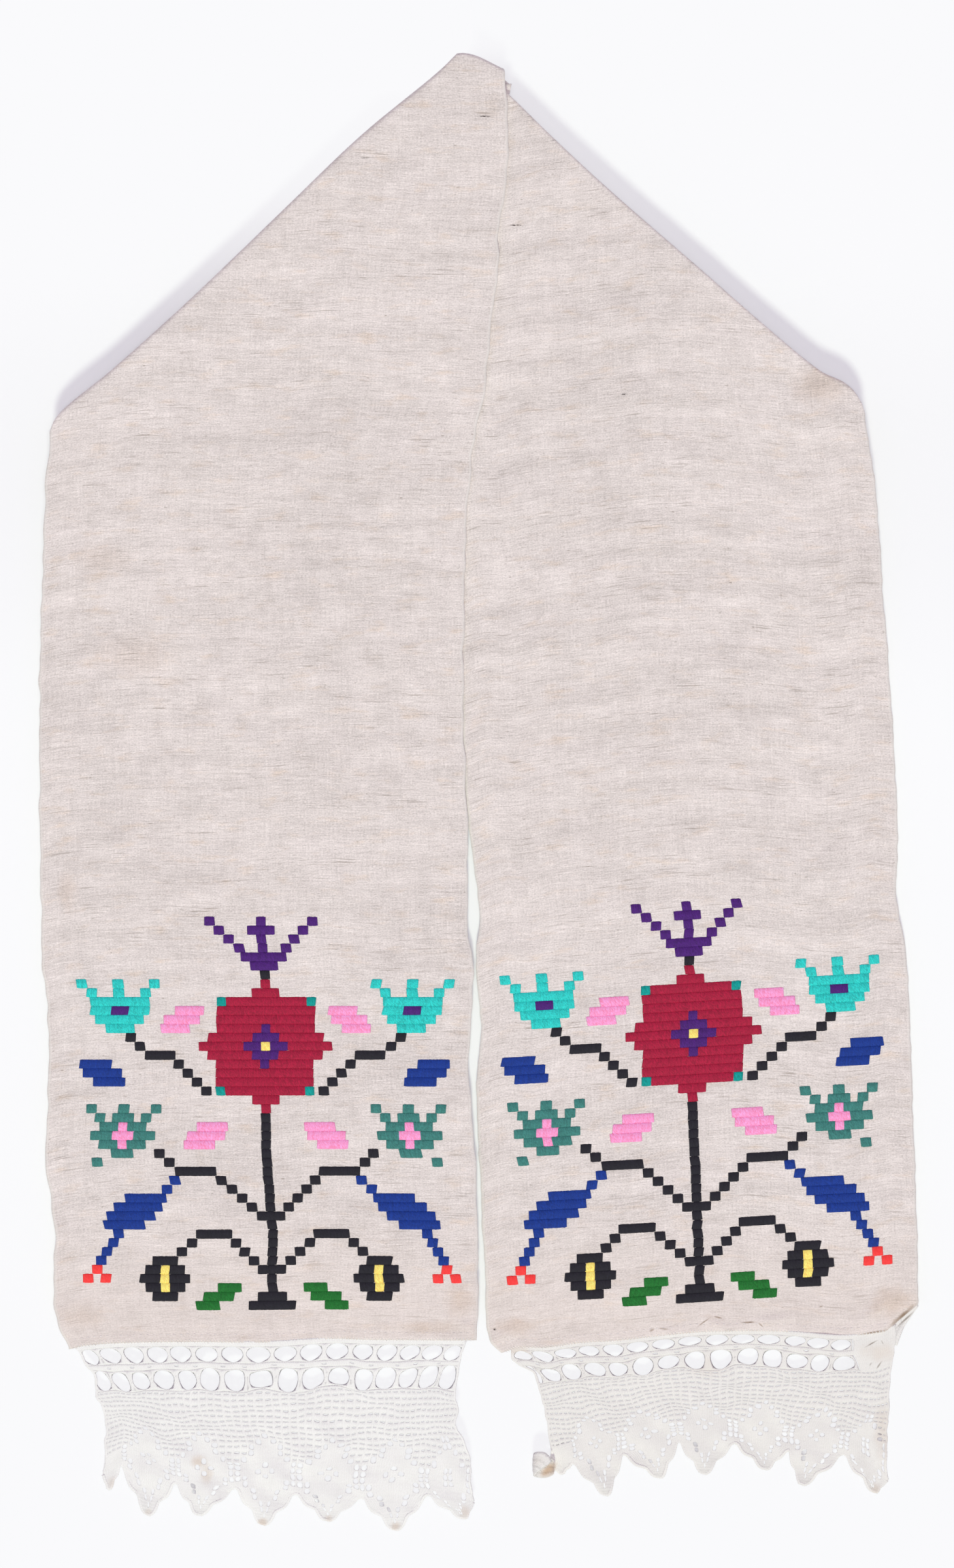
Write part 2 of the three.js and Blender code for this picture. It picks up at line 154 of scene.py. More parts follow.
@dataclass(frozen=True)
class Ripple:
    """Small uneven waves over a surface, the same at each run.

    Args:
        height: about how high the waves are.
        shortest: the shortest wavelength.
        longest: the longest wavelength.
        stretch: how many times longer the waves are sideways than lengthwise.
        seed: which set of waves.
        count: how many waves are laid over each other.
    """

    height: float
    shortest: float
    longest: float
    stretch: float = 1.0
    seed: int = 1
    count: int = 14

    def at(self, x: Array, y: Array) -> Array:
        """The height of the ripple at each place, about 0 on average."""
        draw = np.random.default_rng(SEED + self.seed)
        total = np.zeros(np.broadcast(x, y).shape)
        for _ in range(self.count):
            length = self.shortest * (self.longest / self.shortest) ** draw.random()
            angle, phase = draw.random(2) * 2 * math.pi
            wave = x / self.stretch * math.cos(angle) + y * math.sin(angle)
            total += np.sin(wave * 2 * math.pi / length + phase)
        return self.height * total / math.sqrt(self.count / 2)


# The shape of the linen


@dataclass(frozen=True)
class Wave:
    """A soft ridge or trough that grows down an arm from a height to the hem (mm)."""

    share: float
    spread: float
    depth: float
    start: float


@dataclass(frozen=True)
class Crease:
    """A soft crease on an arm: where its middle is, how long, wide and deep it is, and its tilt."""

    share: float
    down: float
    length: float
    width: float
    depth: float
    degrees: float


@dataclass(frozen=True)
class Curl:
    """A corner that rolls over a slanting line (mm).

    Args:
        across: a point on the line.
        down: the same point's distance below the hang point.
        degrees: the direction in which the cloth runs off over the line, from +X towards down.
        radius: of the roll.
        turn: how many degrees it rolls before it runs straight.
        way: -1 to roll to the front and 1 to roll to the back.
    """

    across: float
    down: float
    degrees: float
    radius: float
    turn: float
    way: float

    def roll(self, x: Array, down: Array, y: Array) -> tuple[Array, ...]:
        """The points rolled over the line, in mm.

        Args:
            x: places across.
            down: distances below the hang point.
            y: depths.

        Returns:
            The new x, down and y.
        """
        heading = math.radians(self.degrees)
        off = np.array([math.cos(heading), math.sin(heading)])
        past = (x - self.across) * off[0] + (down - self.down) * off[1]
        limit = math.radians(self.turn)
        angle = np.clip(past / self.radius, 0, limit)
        spare = np.maximum(past - limit * self.radius, 0)
        forward = self.radius * np.sin(angle) + spare * math.cos(limit)
        lift = self.radius * (1 - np.cos(angle)) + spare * math.sin(limit)
        moved = np.where(past > 0, forward - past, 0)
        return x + moved * off[0], down + moved * off[1], y + self.way * np.where(past > 0, lift, 0)


@dataclass(frozen=True)
class Arm:
    """One arm of the linen, from its hem up to the slanted fold (mm).

    Args:
        front: the depth of the front layer.
        reach: how far the fold bulges past where it starts.
        outer: where the outer selvedge runs.
        inner: where the inner selvedge runs.
        hem: where the hem runs.
        fold: the outline of the slanted fold.
        lean: the direction in which the fold faces.
        back: the depth of the layer behind the fold.
        waves: its soft ridges and troughs.
        creases: its small creases.
        curl: a turned corner, if it has one.
        wander: which ripple its selvedges follow.
    """

    front: float
    reach: float
    outer: Table
    inner: Table
    hem: Table
    fold: Table
    lean: Table
    back: Table
    waves: tuple[Wave, ...]
    creases: tuple[Crease, ...]
    curl: Curl | None
    wander: int

    @property
    def way(self) -> int:
        """1 where share grows to the right, and -1 where it grows to the left."""
        return 1 if self.inner.at(HALFWAY) > self.outer.at(HALFWAY) else -1

    def across(self, share: Array, down: Array) -> Array:
        """Where the lengthwise threads lie, sideways, at a distance below the hang point."""
        edge = Ripple(0.5, 12, 70, seed=self.wander, count=10)
        outer = self.outer.at(down) + edge.at(down, np.zeros_like(down))
        inner = self.inner.at(down) + edge.at(down, np.full_like(down, 500.0))
        return outer + share * (inner - outer)

    def depth(self, share: Array, down: Array) -> Array:
        """How far forward or back the arm hangs, with its waves, creases and crinkle."""
        hem = self.hem.at(share)
        depth = np.full(np.broadcast(share, down).shape, self.front, float)
        for wave in self.waves:
            grown = smooth(1 - (hem - down) / (hem - wave.start), 0, 1)
            depth = depth + wave.depth * grown * np.exp(-(((share - wave.share) / wave.spread) ** 2))
        across = share * LinenSize.width
        for crease in self.creases:
            tilt = math.radians(crease.degrees)
            right, low = across - crease.share * LinenSize.width, down - crease.down
            along = right * math.cos(tilt) + low * math.sin(tilt)
            side = low * math.cos(tilt) - right * math.sin(tilt)
            form = np.exp(-((along / crease.length) ** 2) - (side / crease.width) ** 2)
            depth = depth - crease.depth * form
        crinkle = Ripple(0.12, 13, 36, stretch=1.6, seed=self.wander + 1, count=18)
        billow = Ripple(0.35, 60, 170, stretch=1.3, seed=self.wander + 2, count=8)
        return depth + crinkle.at(across, down) + billow.at(across, down)

    def surface(self, share: Array, down: Array) -> Array:
        """Points of the arm's middle surface in metres.

        Args:
            share: shares of the width.
            down: distances below the hang point, in mm.

        Returns:
            An array of points, one for each share and distance.
        """
        share, down = np.broadcast_arrays(np.asarray(share, float), np.asarray(down, float))
        x, y, low = self.across(share, down), self.depth(share, down), down
        if self.curl:
            x, low, y = self.curl.roll(x, low, y)
        return np.stack([x, y, -low], axis=-1) * MM

    def drape(self, across: Array, up: Array, proud: Array) -> Array:
        """Points of a flat piece of work laid on the arm's front, in metres.

        Args:
            across: shares of the width.
            up: heights above the hem, in mm.
            proud: heights in front of the linen's middle surface, in mm.

        Returns:
            An array of points.
        """
        down = self.hem.at(across) - up
        point = self.surface(across, down)
        side = self.surface(across + 0.004, down) - point
        rise = self.surface(across, down - 1.5) - point
        return point + unit(np.cross(side, rise)) * self.way * (proud * MM)[..., None]


# A distance down at which both arms are at their full width (mm).
HALFWAY = 900.0
# How far a stitch sinks into the linen (mm).
SUNK = 0.05


class LinenSize:
    """The linen's real sizes (mm)."""

    width = 400.0
    half_thickness = 0.3
    hem_extra = 0.3
    hem_depth = 7.0


LEFT_ARM = Arm(
    front=-4.5,
    reach=4.2,
    outer=Table("down", "across", (
        (0, -409), (354, -409), (397, -413), (476, -416), (607, -419), (755, -418), (858, -416),
        (890, -411), (970, -411), (1037, -413), (1105, -404), (1129, -406), (1186, -403),
        (1212, -391))),
    inner=Table("down", "across", (
        (0, 18), (26, 19.7), (57, 21.5), (103, 22), (118, 20), (149, 15), (164, 12.3), (189, 13),
        (258, 5), (315, 0), (344, -8), (435, -17),
        (607, -20), (740, -16), (812, -16), (862, -11), (946, -15), (1037, -9), (1151, -6),
        (1206, -8))),
    hem=Table("share", "down", (
        (0, 1213), (0.04, 1209.7), (0.13, 1207), (0.3, 1205.5), (0.5, 1206), (0.65, 1203.2),
        (0.75, 1204.2), (1, 1204))),
    fold=Table("across", "down", (
        (-415, 364), (-411, 346), (-400, 331), (-358, 297), (-285, 232), (-204, 155), (-124, 78),
        (-52, 17), (-29, -6), (-24, -8), (-7, -5), (19, 7.5), (30, 12))),
    lean=Table("share", "degrees", ((0, 131), (0.84, 131), (0.93, 78), (1, 73))),
    back=Table("share", "depth", ((0, 4), (0.6, 4.5), (0.9, 10), (1, 10.4))),
    waves=(Wave(0.08, 0.1, 2.2, 620), Wave(0.36, 0.15, -2.6, 780), Wave(0.66, 0.13, 2.4, 700),
           Wave(0.95, 0.08, -1.8, 860)),
    creases=(Crease(0.97, 1190, 26, 5, 1.2, 24), Crease(0.03, 1178, 20, 5, 1.0, -60),
             Crease(0.5, 640, 120, 9, 0.5, 4), Crease(0.3, 905, 90, 8, 0.4, -6)),
    curl=None,
    wander=11,
)

RIGHT_ARM = Arm(
    front=-1,
    reach=2.6,
    outer=Table("down", "across", (
        (0, 339), (337, 358), (368, 363), (431, 370.5), (496, 374), (644, 385), (740, 389),
        (785, 387.5), (835, 396), (909, 400), (1019, 404), (1172, 409), (1206, 411))),
    inner=Table("down", "across", (
        (0, -12), (66, -26), (127, -36), (312, -38), (496, -28), (607, -22.5), (681, -18.5),
        (761, -10), (807, -5), (842, -9), (912, -4), (972, -8.5), (1019, -6), (1160, 0.5),
        (1204, 4), (1222, 20))),
    hem=Table("share", "down", (
        (0, 1196), (0.06, 1195), (0.105, 1198), (0.18, 1200.8), (0.256, 1199), (0.34, 1196.6),
        (0.5, 1196.8), (0.6, 1200.3), (0.7, 1205.1), (0.79, 1207.2), (0.88, 1212), (0.94, 1212),
        (1, 1217))),
    fold=Table("across", "down", (
        (-30, 27), (-16, 20), (-4, 16), (8, 19), (21, 29.5), (60, 68), (116, 120.5), (208, 200.5),
        (260, 246), (317, 293), (344, 307), (357, 324), (363, 346))),
    lean=Table("share", "degrees", ((0, 50), (0.84, 50), (0.95, 88), (1, 104))),
    back=Table("share", "depth", ((0, 4), (1, 4))),
    waves=(Wave(0.1, 0.1, -2.2, 700), Wave(0.33, 0.14, 2.6, 760), Wave(0.58, 0.12, -2.4, 820),
           Wave(0.93, 0.1, 2.8, 840)),
    creases=(Crease(0.47, 1189, 13, 3.2, 1.8, -28), Crease(0.34, 1186, 16, 3, 1.5, 8),
             Crease(0.58, 1197, 9, 3, 1.2, -30), Crease(0.1, 1176, 30, 4, 1.6, 38),
             Crease(0.96, 1199, 24, 5, 1.2, 30), Crease(0.6, 660, 110, 9, 0.5, -7)),
    curl=Curl(394.1, 1179.3, 50, 2.6, 170, 1),
    wander=31,
)


@dataclass(frozen=True)
class Pleat:
    """The one pleat in the layer behind, which takes up what the two slanted folds leave over."""

    across: Table = Table("share", "across", ((0.93, 19.5), (1, 23.4)))
    radius: float = 1.6
    depth: float = 48
    least: float = 1
    fall: float = math.tan(math.radians(8))
    level: float = 4
    heights: Table = Table("share", "down", ((0, 391), (0.5, 188), (0.8, 77), (1, 20)))

    def thread(self, share: float, steps: int) -> Array:
        """The S that one lengthwise thread makes, opening out where the pleat runs out (mm)."""
        surplus, wound = 2 * self.depth * share, 2 * math.pi * self.radius
        turn = math.pi
        if surplus < wound:
            turns = np.linspace(0.05, math.pi, 400)
            turn = float(turns[np.argmin(abs(1 - np.sin(turns) / turns - surplus / wound))])
        radius = math.pi * self.radius / turn
        length = self.least + max(0.0, (surplus - wound) / 2)
        rise = 2 * radius * (1 - math.cos(turn)) + length * math.sin(turn)
        high = -float(self.heights.at(share))
        low = high - length * self.fall
        x, y = float(self.across.at(share)), self.level + rise
        points = [(x, y, high)]
        for angle in after(0, turn, steps):
            points.append((x + radius * math.sin(angle), y - radius * (1 - math.cos(angle)), high))
        x, y, _ = points[-1]
        x, y = x + length * math.cos(turn), y - length * math.sin(turn)
        points.append((x, y, low))
        for angle in after(0, turn, steps):
            points.append((x + radius * (math.sin(turn) - math.sin(turn - angle)),
                           y - radius * (math.cos(turn - angle) - math.cos(turn)), low))
        return np.array(points)


@dataclass
class Linen:
    """The strip of linen, one sheet folded twice, with its weave, selvedges and hems."""

    arm_steps: int = 178
    hem_steps: int = 10
    bend_steps: int = 12
    behind_steps: int = 34
    turn_steps: int = 8
    pleat: Pleat = field(default_factory=Pleat)

    def shares(self) -> Array:
        """Where the lengthwise threads of the grid lie, closer near the selvedges."""
        wide = np.linspace(0.1, 0.96, 66)
        return np.concatenate([np.linspace(0, 0.1, 13)[:-1], wide, np.linspace(0.96, 1, 5)[1:]])

    def arm_thread(self, arm: Arm, share: float) -> Array:
        """One lengthwise thread from a hem up its arm and over the slanted fold, in metres."""
        lean = math.radians(float(arm.lean.at(share)))
        outward = np.array([math.cos(lean), 0, math.sin(lean)])
        uphill = 1 if outward[0] < 0 else -1
        along = np.array([outward[2] * uphill, 0, abs(outward[0])])
        low, high = -20.0, 420.0
        for _ in range(40):
            middle = (low + high) / 2
            edge = arm.across(share, np.array(middle)) + arm.reach * outward[0]
            if middle - arm.reach * outward[2] > arm.fold.at(edge):
                high = middle
            else:
                low = middle
        hem = float(arm.hem.at(share))
        fine = hem - np.linspace(0, 24, self.hem_steps + 1)
        downs = np.concatenate([fine, after(fine[-1], low, self.arm_steps)])
        points = arm.surface(np.full_like(downs, share), downs) / MM
        foot = points[-1]
        behind = float(arm.back.at(share))
        slide = (math.pi / 2) * (behind - foot[1]) * along[2] / outward[2]
        bend = [foot + outward * arm.reach * math.sin(a) + along * slide * a / math.pi
                + np.array([0, (behind - foot[1]) * (1 - math.cos(a)) / 2, 0])
                for a in after(0, math.pi, self.bend_steps)]
        return np.concatenate([points, np.array(bend)])

    def behind(self, start: Array, end: Array) -> Array:
        """The points between two others in the layer behind, flat at both ends (mm)."""
        t = after(0, 1, self.behind_steps)[:-1, None]
        points = start + (end - start) * t
        points[:, 1] = start[1] + (end[1] - start[1]) * smooth(t[:, 0], 0, 1)
        sway = Ripple(0.5, 70, 160, seed=51, count=8).at(points[:, 0], points[:, 2])
        points[:, 1] += sway * np.sin(math.pi * t[:, 0]) ** 2
        return points

    def thread(self, share: float) -> Array:
        """One lengthwise thread of the strip, from the left hem to the right one (mm)."""
        left, right = self.arm_thread(LEFT_ARM, share), self.arm_thread(RIGHT_ARM, share)[::-1]
        middle = self.pleat.thread(share, self.turn_steps)
        return np.concatenate([left, self.behind(left[-1], middle[0]), middle,
                               self.behind(middle[-1], right[0]), right])

    def build(self) -> Object:
        """The linen as a closed thin sheet with its flat place in the UV map."""
        shares = self.shares()
        grid = np.stack([self.thread(float(share)) for share in shares])
        columns, rows = grid.shape[:2]
        normal = facing(grid)
        gap = np.linalg.norm(np.diff(grid, axis=1), axis=-1)
        place = np.concatenate([np.zeros((columns, 1)), np.cumsum(gap, axis=1)], axis=1)
        length = float(place[:, -1].mean())
        arm_rows = self.hem_steps + 1 + self.arm_steps + self.bend_steps
        end = place[:, -1:]
        first, last = place[:, arm_rows - 1:arm_rows], place[:, rows - arm_rows:rows - arm_rows + 1]
        right_start = length - (end - last)
        middle = first + (place - first) / (last - first) * (right_start - first)
        flat = np.where(np.arange(rows) < arm_rows, place, middle)
        flat = np.where(np.arange(rows) >= rows - arm_rows, length - (end - place), flat)
        edge = np.minimum(flat, length - flat)
        half = LinenSize.half_thickness + LinenSize.hem_extra * (edge < LinenSize.hem_depth)
        layers = [grid + normal * (half * way)[..., None] for way in (-1, 1)]
        points = np.concatenate([layer.reshape(-1, 3) for layer in layers]) * MM
        faces = self.faces(columns, rows)
        flat_points = np.stack([np.broadcast_to(shares[:, None] * LinenSize.width, flat.shape), flat], -1)
        uv = np.concatenate([flat_points.reshape(-1, 2)] * 2) * MM
        self.length = length
        log.info("linen %d x %d, %.0f mm long (%.0f to %.0f)", columns, rows, length, end.min(), end.max())
        return make_piece("linen", points, faces, uv=uv)

    @staticmethod
    def faces(columns: int, rows: int) -> Array:
        """The quads of a closed sheet of two layers, facing out."""
        ids = np.arange(columns * rows).reshape(columns, rows)
        layer = columns * rows
        a, b, c, d = ids[:-1, :-1], ids[1:, :-1], ids[1:, 1:], ids[:-1, 1:]
        under = np.stack([a, b, c, d], -1).reshape(-1, 4)
        over = np.stack([a, d, c, b], -1).reshape(-1, 4) + layer
        rims = []
        for line, flip in ((ids[0, :], False), (ids[-1, :], True), (ids[:, 0], True), (ids[:, -1], False)):
            start, end = line[:-1], line[1:]
            rim = np.stack([start, end, end + layer, start + layer], -1)
            rims.append(rim[:, ::-1] if flip else rim)
        return np.concatenate([under, over, *rims])


# Meshes


def make_mesh(name: str, points: Array, faces: Array,
              flat: Array | None = None) -> bpy.types.Mesh:
    """A smooth mesh from points and quads.

    Args:
        name: the mesh's name.
        points: its points, in metres.
        faces: four point numbers a face, or three and the first again for a triangle.
        flat: which faces are shaded flat, with a sharp edge round them: none unless given.

    Returns:
        The mesh.
    """
    mesh = bpy.data.meshes.new(name)
    faces = np.asarray(faces)
    whole = faces[:, 3] != faces[:, 0]
    totals = np.where(whole, 4, 3)
    loops = faces[np.stack([np.ones_like(whole)] * 3 + [whole], axis=1)]
    mesh.vertices.add(len(points))
    mesh.vertices.foreach_set("co", np.asarray(points, np.float32).ravel())
    mesh.loops.add(len(loops))
    mesh.loops.foreach_set("vertex_index", loops.astype(np.int32))
    mesh.polygons.add(len(faces))
    mesh.polygons.foreach_set("loop_start", np.concatenate([[0], np.cumsum(totals)[:-1]]).astype(np.int32))
    mesh.polygons.foreach_set("loop_total", totals.astype(np.int32))
    mesh.polygons.foreach_set("use_smooth", np.ones(len(faces), bool) if flat is None else ~flat)
    mesh.update(calc_edges=True)
    mesh.validate()
    return mesh


def taken(items: bpy.types.bpy_prop_collection, key: str, kind: type = np.int32,
          wide: int = 1) -> Array:
    """One property of each item as an array, so many numbers to an item."""
    values = np.empty(len(items) * wide, kind)
    items.foreach_get(key, values)
    return values


def placed(name: str, data: bpy.types.ID) -> Object:
    """An object in the scene, at the origin."""
    thing = bpy.data.objects.new(name, data)
    bpy.context.scene.collection.objects.link(thing)
    return thing


def shown(sockets: bpy.types.bpy_prop_collection, name: str) -> Socket:
    """The socket of that name that the node's settings show."""
    return next(s for s in sockets if s.enabled and s.name == name)


def make_piece(name: str, points: Array, faces: Array, uv: Array | None = None,
               tone: Array | None = None, flat: Array | None = None) -> Object:
    """A piece in the scene, riding on the one body.

    Args:
        name: the piece's name.
        points: its points, in metres.
        faces: its quads, as make_mesh takes them.
        uv: a flat place for each point, in metres.
        tone: a number from 0 to 1 for each point, by which its finish varies.
        flat: which faces are shaded flat: none unless given.

    Returns:
        The object.
    """
    mesh = make_mesh(name, points, faces, flat)
    if uv is not None:
        layer = mesh.uv_layers.new(name="flat")
        corners = taken(mesh.loops, "vertex_index")
        layer.data.foreach_set("uv", np.asarray(uv, np.float32)[corners].ravel())
    if tone is not None:
        mesh.attributes.new("tone", "FLOAT", "POINT").data.foreach_set("value", tone.astype(np.float32))
    piece = placed(name, mesh)
    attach(piece, "root")
    return piece


def joined(parts: list[Shape]) -> Shape:
    """Several sets of points and quads as one."""
    points, faces, start = [], [], 0
    for part_points, part_faces in parts:
        points.append(part_points)
        faces.append(part_faces + start)
        start += len(part_points)
    return np.concatenate(points), np.concatenate(faces)


@dataclass
class Nodes:
    """Adds nodes to a tree and joins them."""

    tree: bpy.types.NodeTree

    def add(self, kind: str, given: dict | None = None, **settings: object) -> bpy.types.Node:
        """A node with its settings and inputs, each input a value or another node's socket."""
        node = self.tree.nodes.new(kind)
        for name, value in settings.items():
            setattr(node, name, value)
        for name, value in (given or {}).items():
            socket = node.inputs[name] if isinstance(name, int) else shown(node.inputs, name)
            self.put(socket, value)
        return node

    def put(self, socket: Socket, value: object) -> None:
        """Joins a socket to another one, or sets its value."""
        if isinstance(value, Socket):
            self.tree.links.new(value, socket)
        else:
            socket.default_value = value

    def math(self, operation: str, a: object, b: object = 0.0, clamp: bool = False) -> Socket:
        """The result of a sum on one or two values."""
        return self.add("ShaderNodeMath", {0: a, 1: b}, operation=operation, use_clamp=clamp).outputs[0]

    def scaled(self, vector: object, scale: Triple) -> Socket:
        """A vector with each part multiplied by its own scale."""
        node = self.add("ShaderNodeVectorMath", {0: vector, 1: scale}, operation="MULTIPLY")
        return node.outputs[0]

    def noise(self, vector: object, scale: Triple, detail: float = 2.0,
              rough: float = 0.5) -> Socket:
        """Soft noise with its own scale along each axis, in waves to a metre."""
        given = {"Vector": self.scaled(vector, scale), "Scale": 1.0, "Detail": detail, "Roughness": rough}
        return self.add("ShaderNodeTexNoise", given).outputs[0]

    def weighted(self, terms: tuple[tuple[object, float], ...]) -> Socket:
        """The sum of some values, each times its own weight."""
        total: object = 0.0
        for value, weight in terms:
            total = self.math("ADD", total, self.math("MULTIPLY", value, weight))
        return total

    def span(self, value: object, low: float, high: float, to_low: float = 0.0,
             to_high: float = 1.0) -> Socket:
        """A value's place between low and high, softly, as a number from to_low to to_high."""
        given = {"Value": value, "From Min": low, "From Max": high, "To Min": to_low, "To Max": to_high}
        node = self.add("ShaderNodeMapRange", interpolation_type="SMOOTHSTEP")
        for name, number in given.items():
            self.put(node.inputs[name], number)
        return node.outputs[0]

    def relief(self, shader: bpy.types.Node, height: object, strength: float, distance: float) -> None:
        """Gives a shader a relief, so many metres deep."""
        given = {"Height": height, "Strength": strength, "Distance": distance}
        self.put(shader.inputs["Normal"], self.add("ShaderNodeBump", given).outputs[0])

    def blend(self, share: object, a: object, b: object, how: str = "MIX") -> Socket:
        """A colour between two others."""
        node = self.add("ShaderNodeMix", data_type="RGBA", blend_type=how)
        for name, value in (("Factor", share), ("A", a), ("B", b)):
            self.put(shown(node.inputs, name), value)
        return shown(node.outputs, "Result")


@dataclass
class Laid:
    """Stitches laid out flat: their points and quads, and what each point belongs to."""

    points: Array
    faces: Array
    cell: Array
    tone: Array


class StitchRepeater:
    """Geometry Nodes that repeat one stitch over flat points, each with its own size and turn."""

    def __init__(self) -> None:
        """Builds the node tree once."""
        self.tree = bpy.data.node_groups.new("repeat_stitch", "GeometryNodeTree")
        face = self.tree.interface
        face.new_socket("Geometry", in_out="OUTPUT", socket_type="NodeSocketGeometry")
        kinds = {"Geometry": "Geometry", "Stitch": "Object", "Slant": "Float", "Loft": "Float",
                 "Seed": "Int", "Thread": "Material"}
        self.inputs = {
            name: face.new_socket(name, in_out="INPUT", socket_type=f"NodeSocket{kind}").identifier
            for name, kind in kinds.items()}
        nodes = Nodes(self.tree)
        given = nodes.add("NodeGroupInput").outputs
        stitch = nodes.add("GeometryNodeObjectInfo", {"Object": given["Stitch"]})
        size, turn = (
            shown(nodes.add("GeometryNodeInputNamedAttribute", {"Name": name}, data_type=kind).outputs,
                  "Attribute") for name, kind in (("size", "FLOAT_VECTOR"), ("turn", "FLOAT")))
        slant = self.between(nodes.math("MULTIPLY", given["Slant"], -1.0), given["Slant"], given["Seed"])
        euler = nodes.add("ShaderNodeCombineXYZ", {"Z": nodes.math("ADD", turn, slant)})
        rotation = nodes.add("FunctionNodeEulerToRotation", {0: euler.outputs[0]})
        loft = self.between(nodes.math("SUBTRACT", 1.0, given["Loft"]), 1.0, given["Seed"])
        higher = nodes.add("ShaderNodeCombineXYZ", {"X": 1.0, "Y": 1.0, "Z": loft})
        place = nodes.add("GeometryNodeInstanceOnPoints", {
            "Points": given["Geometry"], "Instance": stitch.outputs["Geometry"],
            "Rotation": rotation.outputs[0], "Scale": nodes.scaled(size, higher.outputs[0])})
        realize = nodes.add("GeometryNodeRealizeInstances", {0: place.outputs[0]})
        finish = nodes.add("GeometryNodeSetMaterial", {"Geometry": realize.outputs[0],
                                                       "Material": given["Thread"]})
        nodes.add("NodeGroupOutput", {0: finish.outputs[0]})

    def between(self, low: object, high: object, seed: object) -> Socket:
        """A random number for each stitch between two others."""
        draw = Nodes(self.tree).add("FunctionNodeRandomValue", {"Min": low, "Max": high, "Seed": seed},
                                    data_type="FLOAT")
        return shown(draw.outputs, "Value")

    def lay(self, stitch: Shape, places: Array, sizes: Array,
            thread: Material, cells: Array | None = None,
            turns: Array | None = None, slant: float = 0.0, loft: float = 0.0) -> Laid:
        """Repeats a stitch over flat points.

        Args:
            stitch: the stitch's points and quads.
            places: a flat point for each stitch.
            sizes: how much each stitch is scaled along X, Y and Z.
            thread: the finish.
            cells: a number for each stitch that says where it belongs.
            turns: how far each stitch is turned, in radians.
            slant: how far a stitch may turn either way, in radians.
            loft: how much lower than its full height a stitch may be, as a share.

        Returns:
            The stitches, laid out flat.
        """
        count = len(places)
        source = bpy.data.objects.new("stitch", make_mesh("stitch", *stitch))
        mesh = bpy.data.meshes.new("places")
        mesh.vertices.add(count)
        mesh.vertices.foreach_set("co", np.asarray(places, np.float32).ravel())
        draw = np.random.default_rng(SEED)
        values = {"size": ("FLOAT_VECTOR", "vector", sizes),
                  "turn": ("FLOAT", "value", np.zeros(count) if turns is None else turns),
                  "cell": ("INT", "value", np.arange(count) if cells is None else cells),
                  "tone": ("FLOAT", "value", draw.random(count))}
        for name, (kind, key, value) in values.items():
            layer = mesh.attributes.new(name, kind, "POINT")
            flat = np.asarray(value, np.int32 if kind == "INT" else np.float32)
            layer.data.foreach_set(key, flat.ravel())
        points = placed("places", mesh)
        modifier = points.modifiers.new("stitches", "NODES")
        modifier.node_group = self.tree
        given = {"Stitch": source, "Slant": slant, "Loft": loft, "Seed": SEED, "Thread": thread}
        for name, value in given.items():
            modifier[self.inputs[name]] = value
        whole = bpy.data.meshes.new_from_object(
            points.evaluated_get(bpy.context.evaluated_depsgraph_get()))
        laid = self.read(whole)
        points.modifiers.remove(modifier)
        bpy.data.objects.remove(points)
        bpy.data.objects.remove(source)
        bpy.data.meshes.remove(whole)
        return laid

    @staticmethod
    def read(mesh: bpy.types.Mesh) -> Laid:
        """The arrays of a mesh of quads and triangles."""
        corners = taken(mesh.loops, "vertex_index")
        starts, totals = taken(mesh.polygons, "loop_start"), taken(mesh.polygons, "loop_total")
        fourth = np.where(totals == 4, starts + np.minimum(totals, 4) - 1, starts)
        faces = np.stack([corners[starts], corners[starts + 1], corners[starts + 2], corners[fourth]], 1)
        cell = taken(mesh.attributes["cell"].data, "value")
        tone = taken(mesh.attributes["tone"].data, "value", np.float32)
        points = taken(mesh.vertices, "co", np.float32, 3)
        return Laid(points.reshape(-1, 3).astype(float), faces, cell, tone)


# Finishes


def linear(srgb: Triple) -> tuple[float, float, float, float]:
    """A colour written from 0 to 255 as the renderer takes it."""
    parts = [c / 255 for c in srgb]
    return (*[c / 12.92 if c <= 0.04045 else ((c + 0.055) / 1.055) ** 2.4 for c in parts], 1.0)


@dataclass(frozen=True)
class Spot:
    """A stain: its middle and size on the front of the cloth (mm), its strength and its tilt (degrees)."""

    across: float
    down: float
    wide: float
    tall: float
    strength: float
    tilt: float = 0.0


def new_group(name: str, inputs: dict[str, str], outputs: dict[str, str]) -> tuple[Nodes, dict, dict]:
    """A shader node group, with its input sockets and its output ones to join to.

    Args:
        name: the group's name.
        inputs: the kind of each input.
        outputs: the kind of each output.

    Returns:
        The group's nodes, its inputs and its outputs.
    """
    tree = bpy.data.node_groups.new(name, "ShaderNodeTree")
    for sockets, way in ((inputs, "INPUT"), (outputs, "OUTPUT")):
        for socket, kind in sockets.items():
            tree.interface.new_socket(socket, in_out=way, socket_type=f"NodeSocket{kind}")
    nodes = Nodes(tree)
    given, result = nodes.add("NodeGroupInput"), nodes.add("NodeGroupOutput")
    return nodes, {s: given.outputs[s] for s in inputs}, {s: result.inputs[s] for s in outputs}


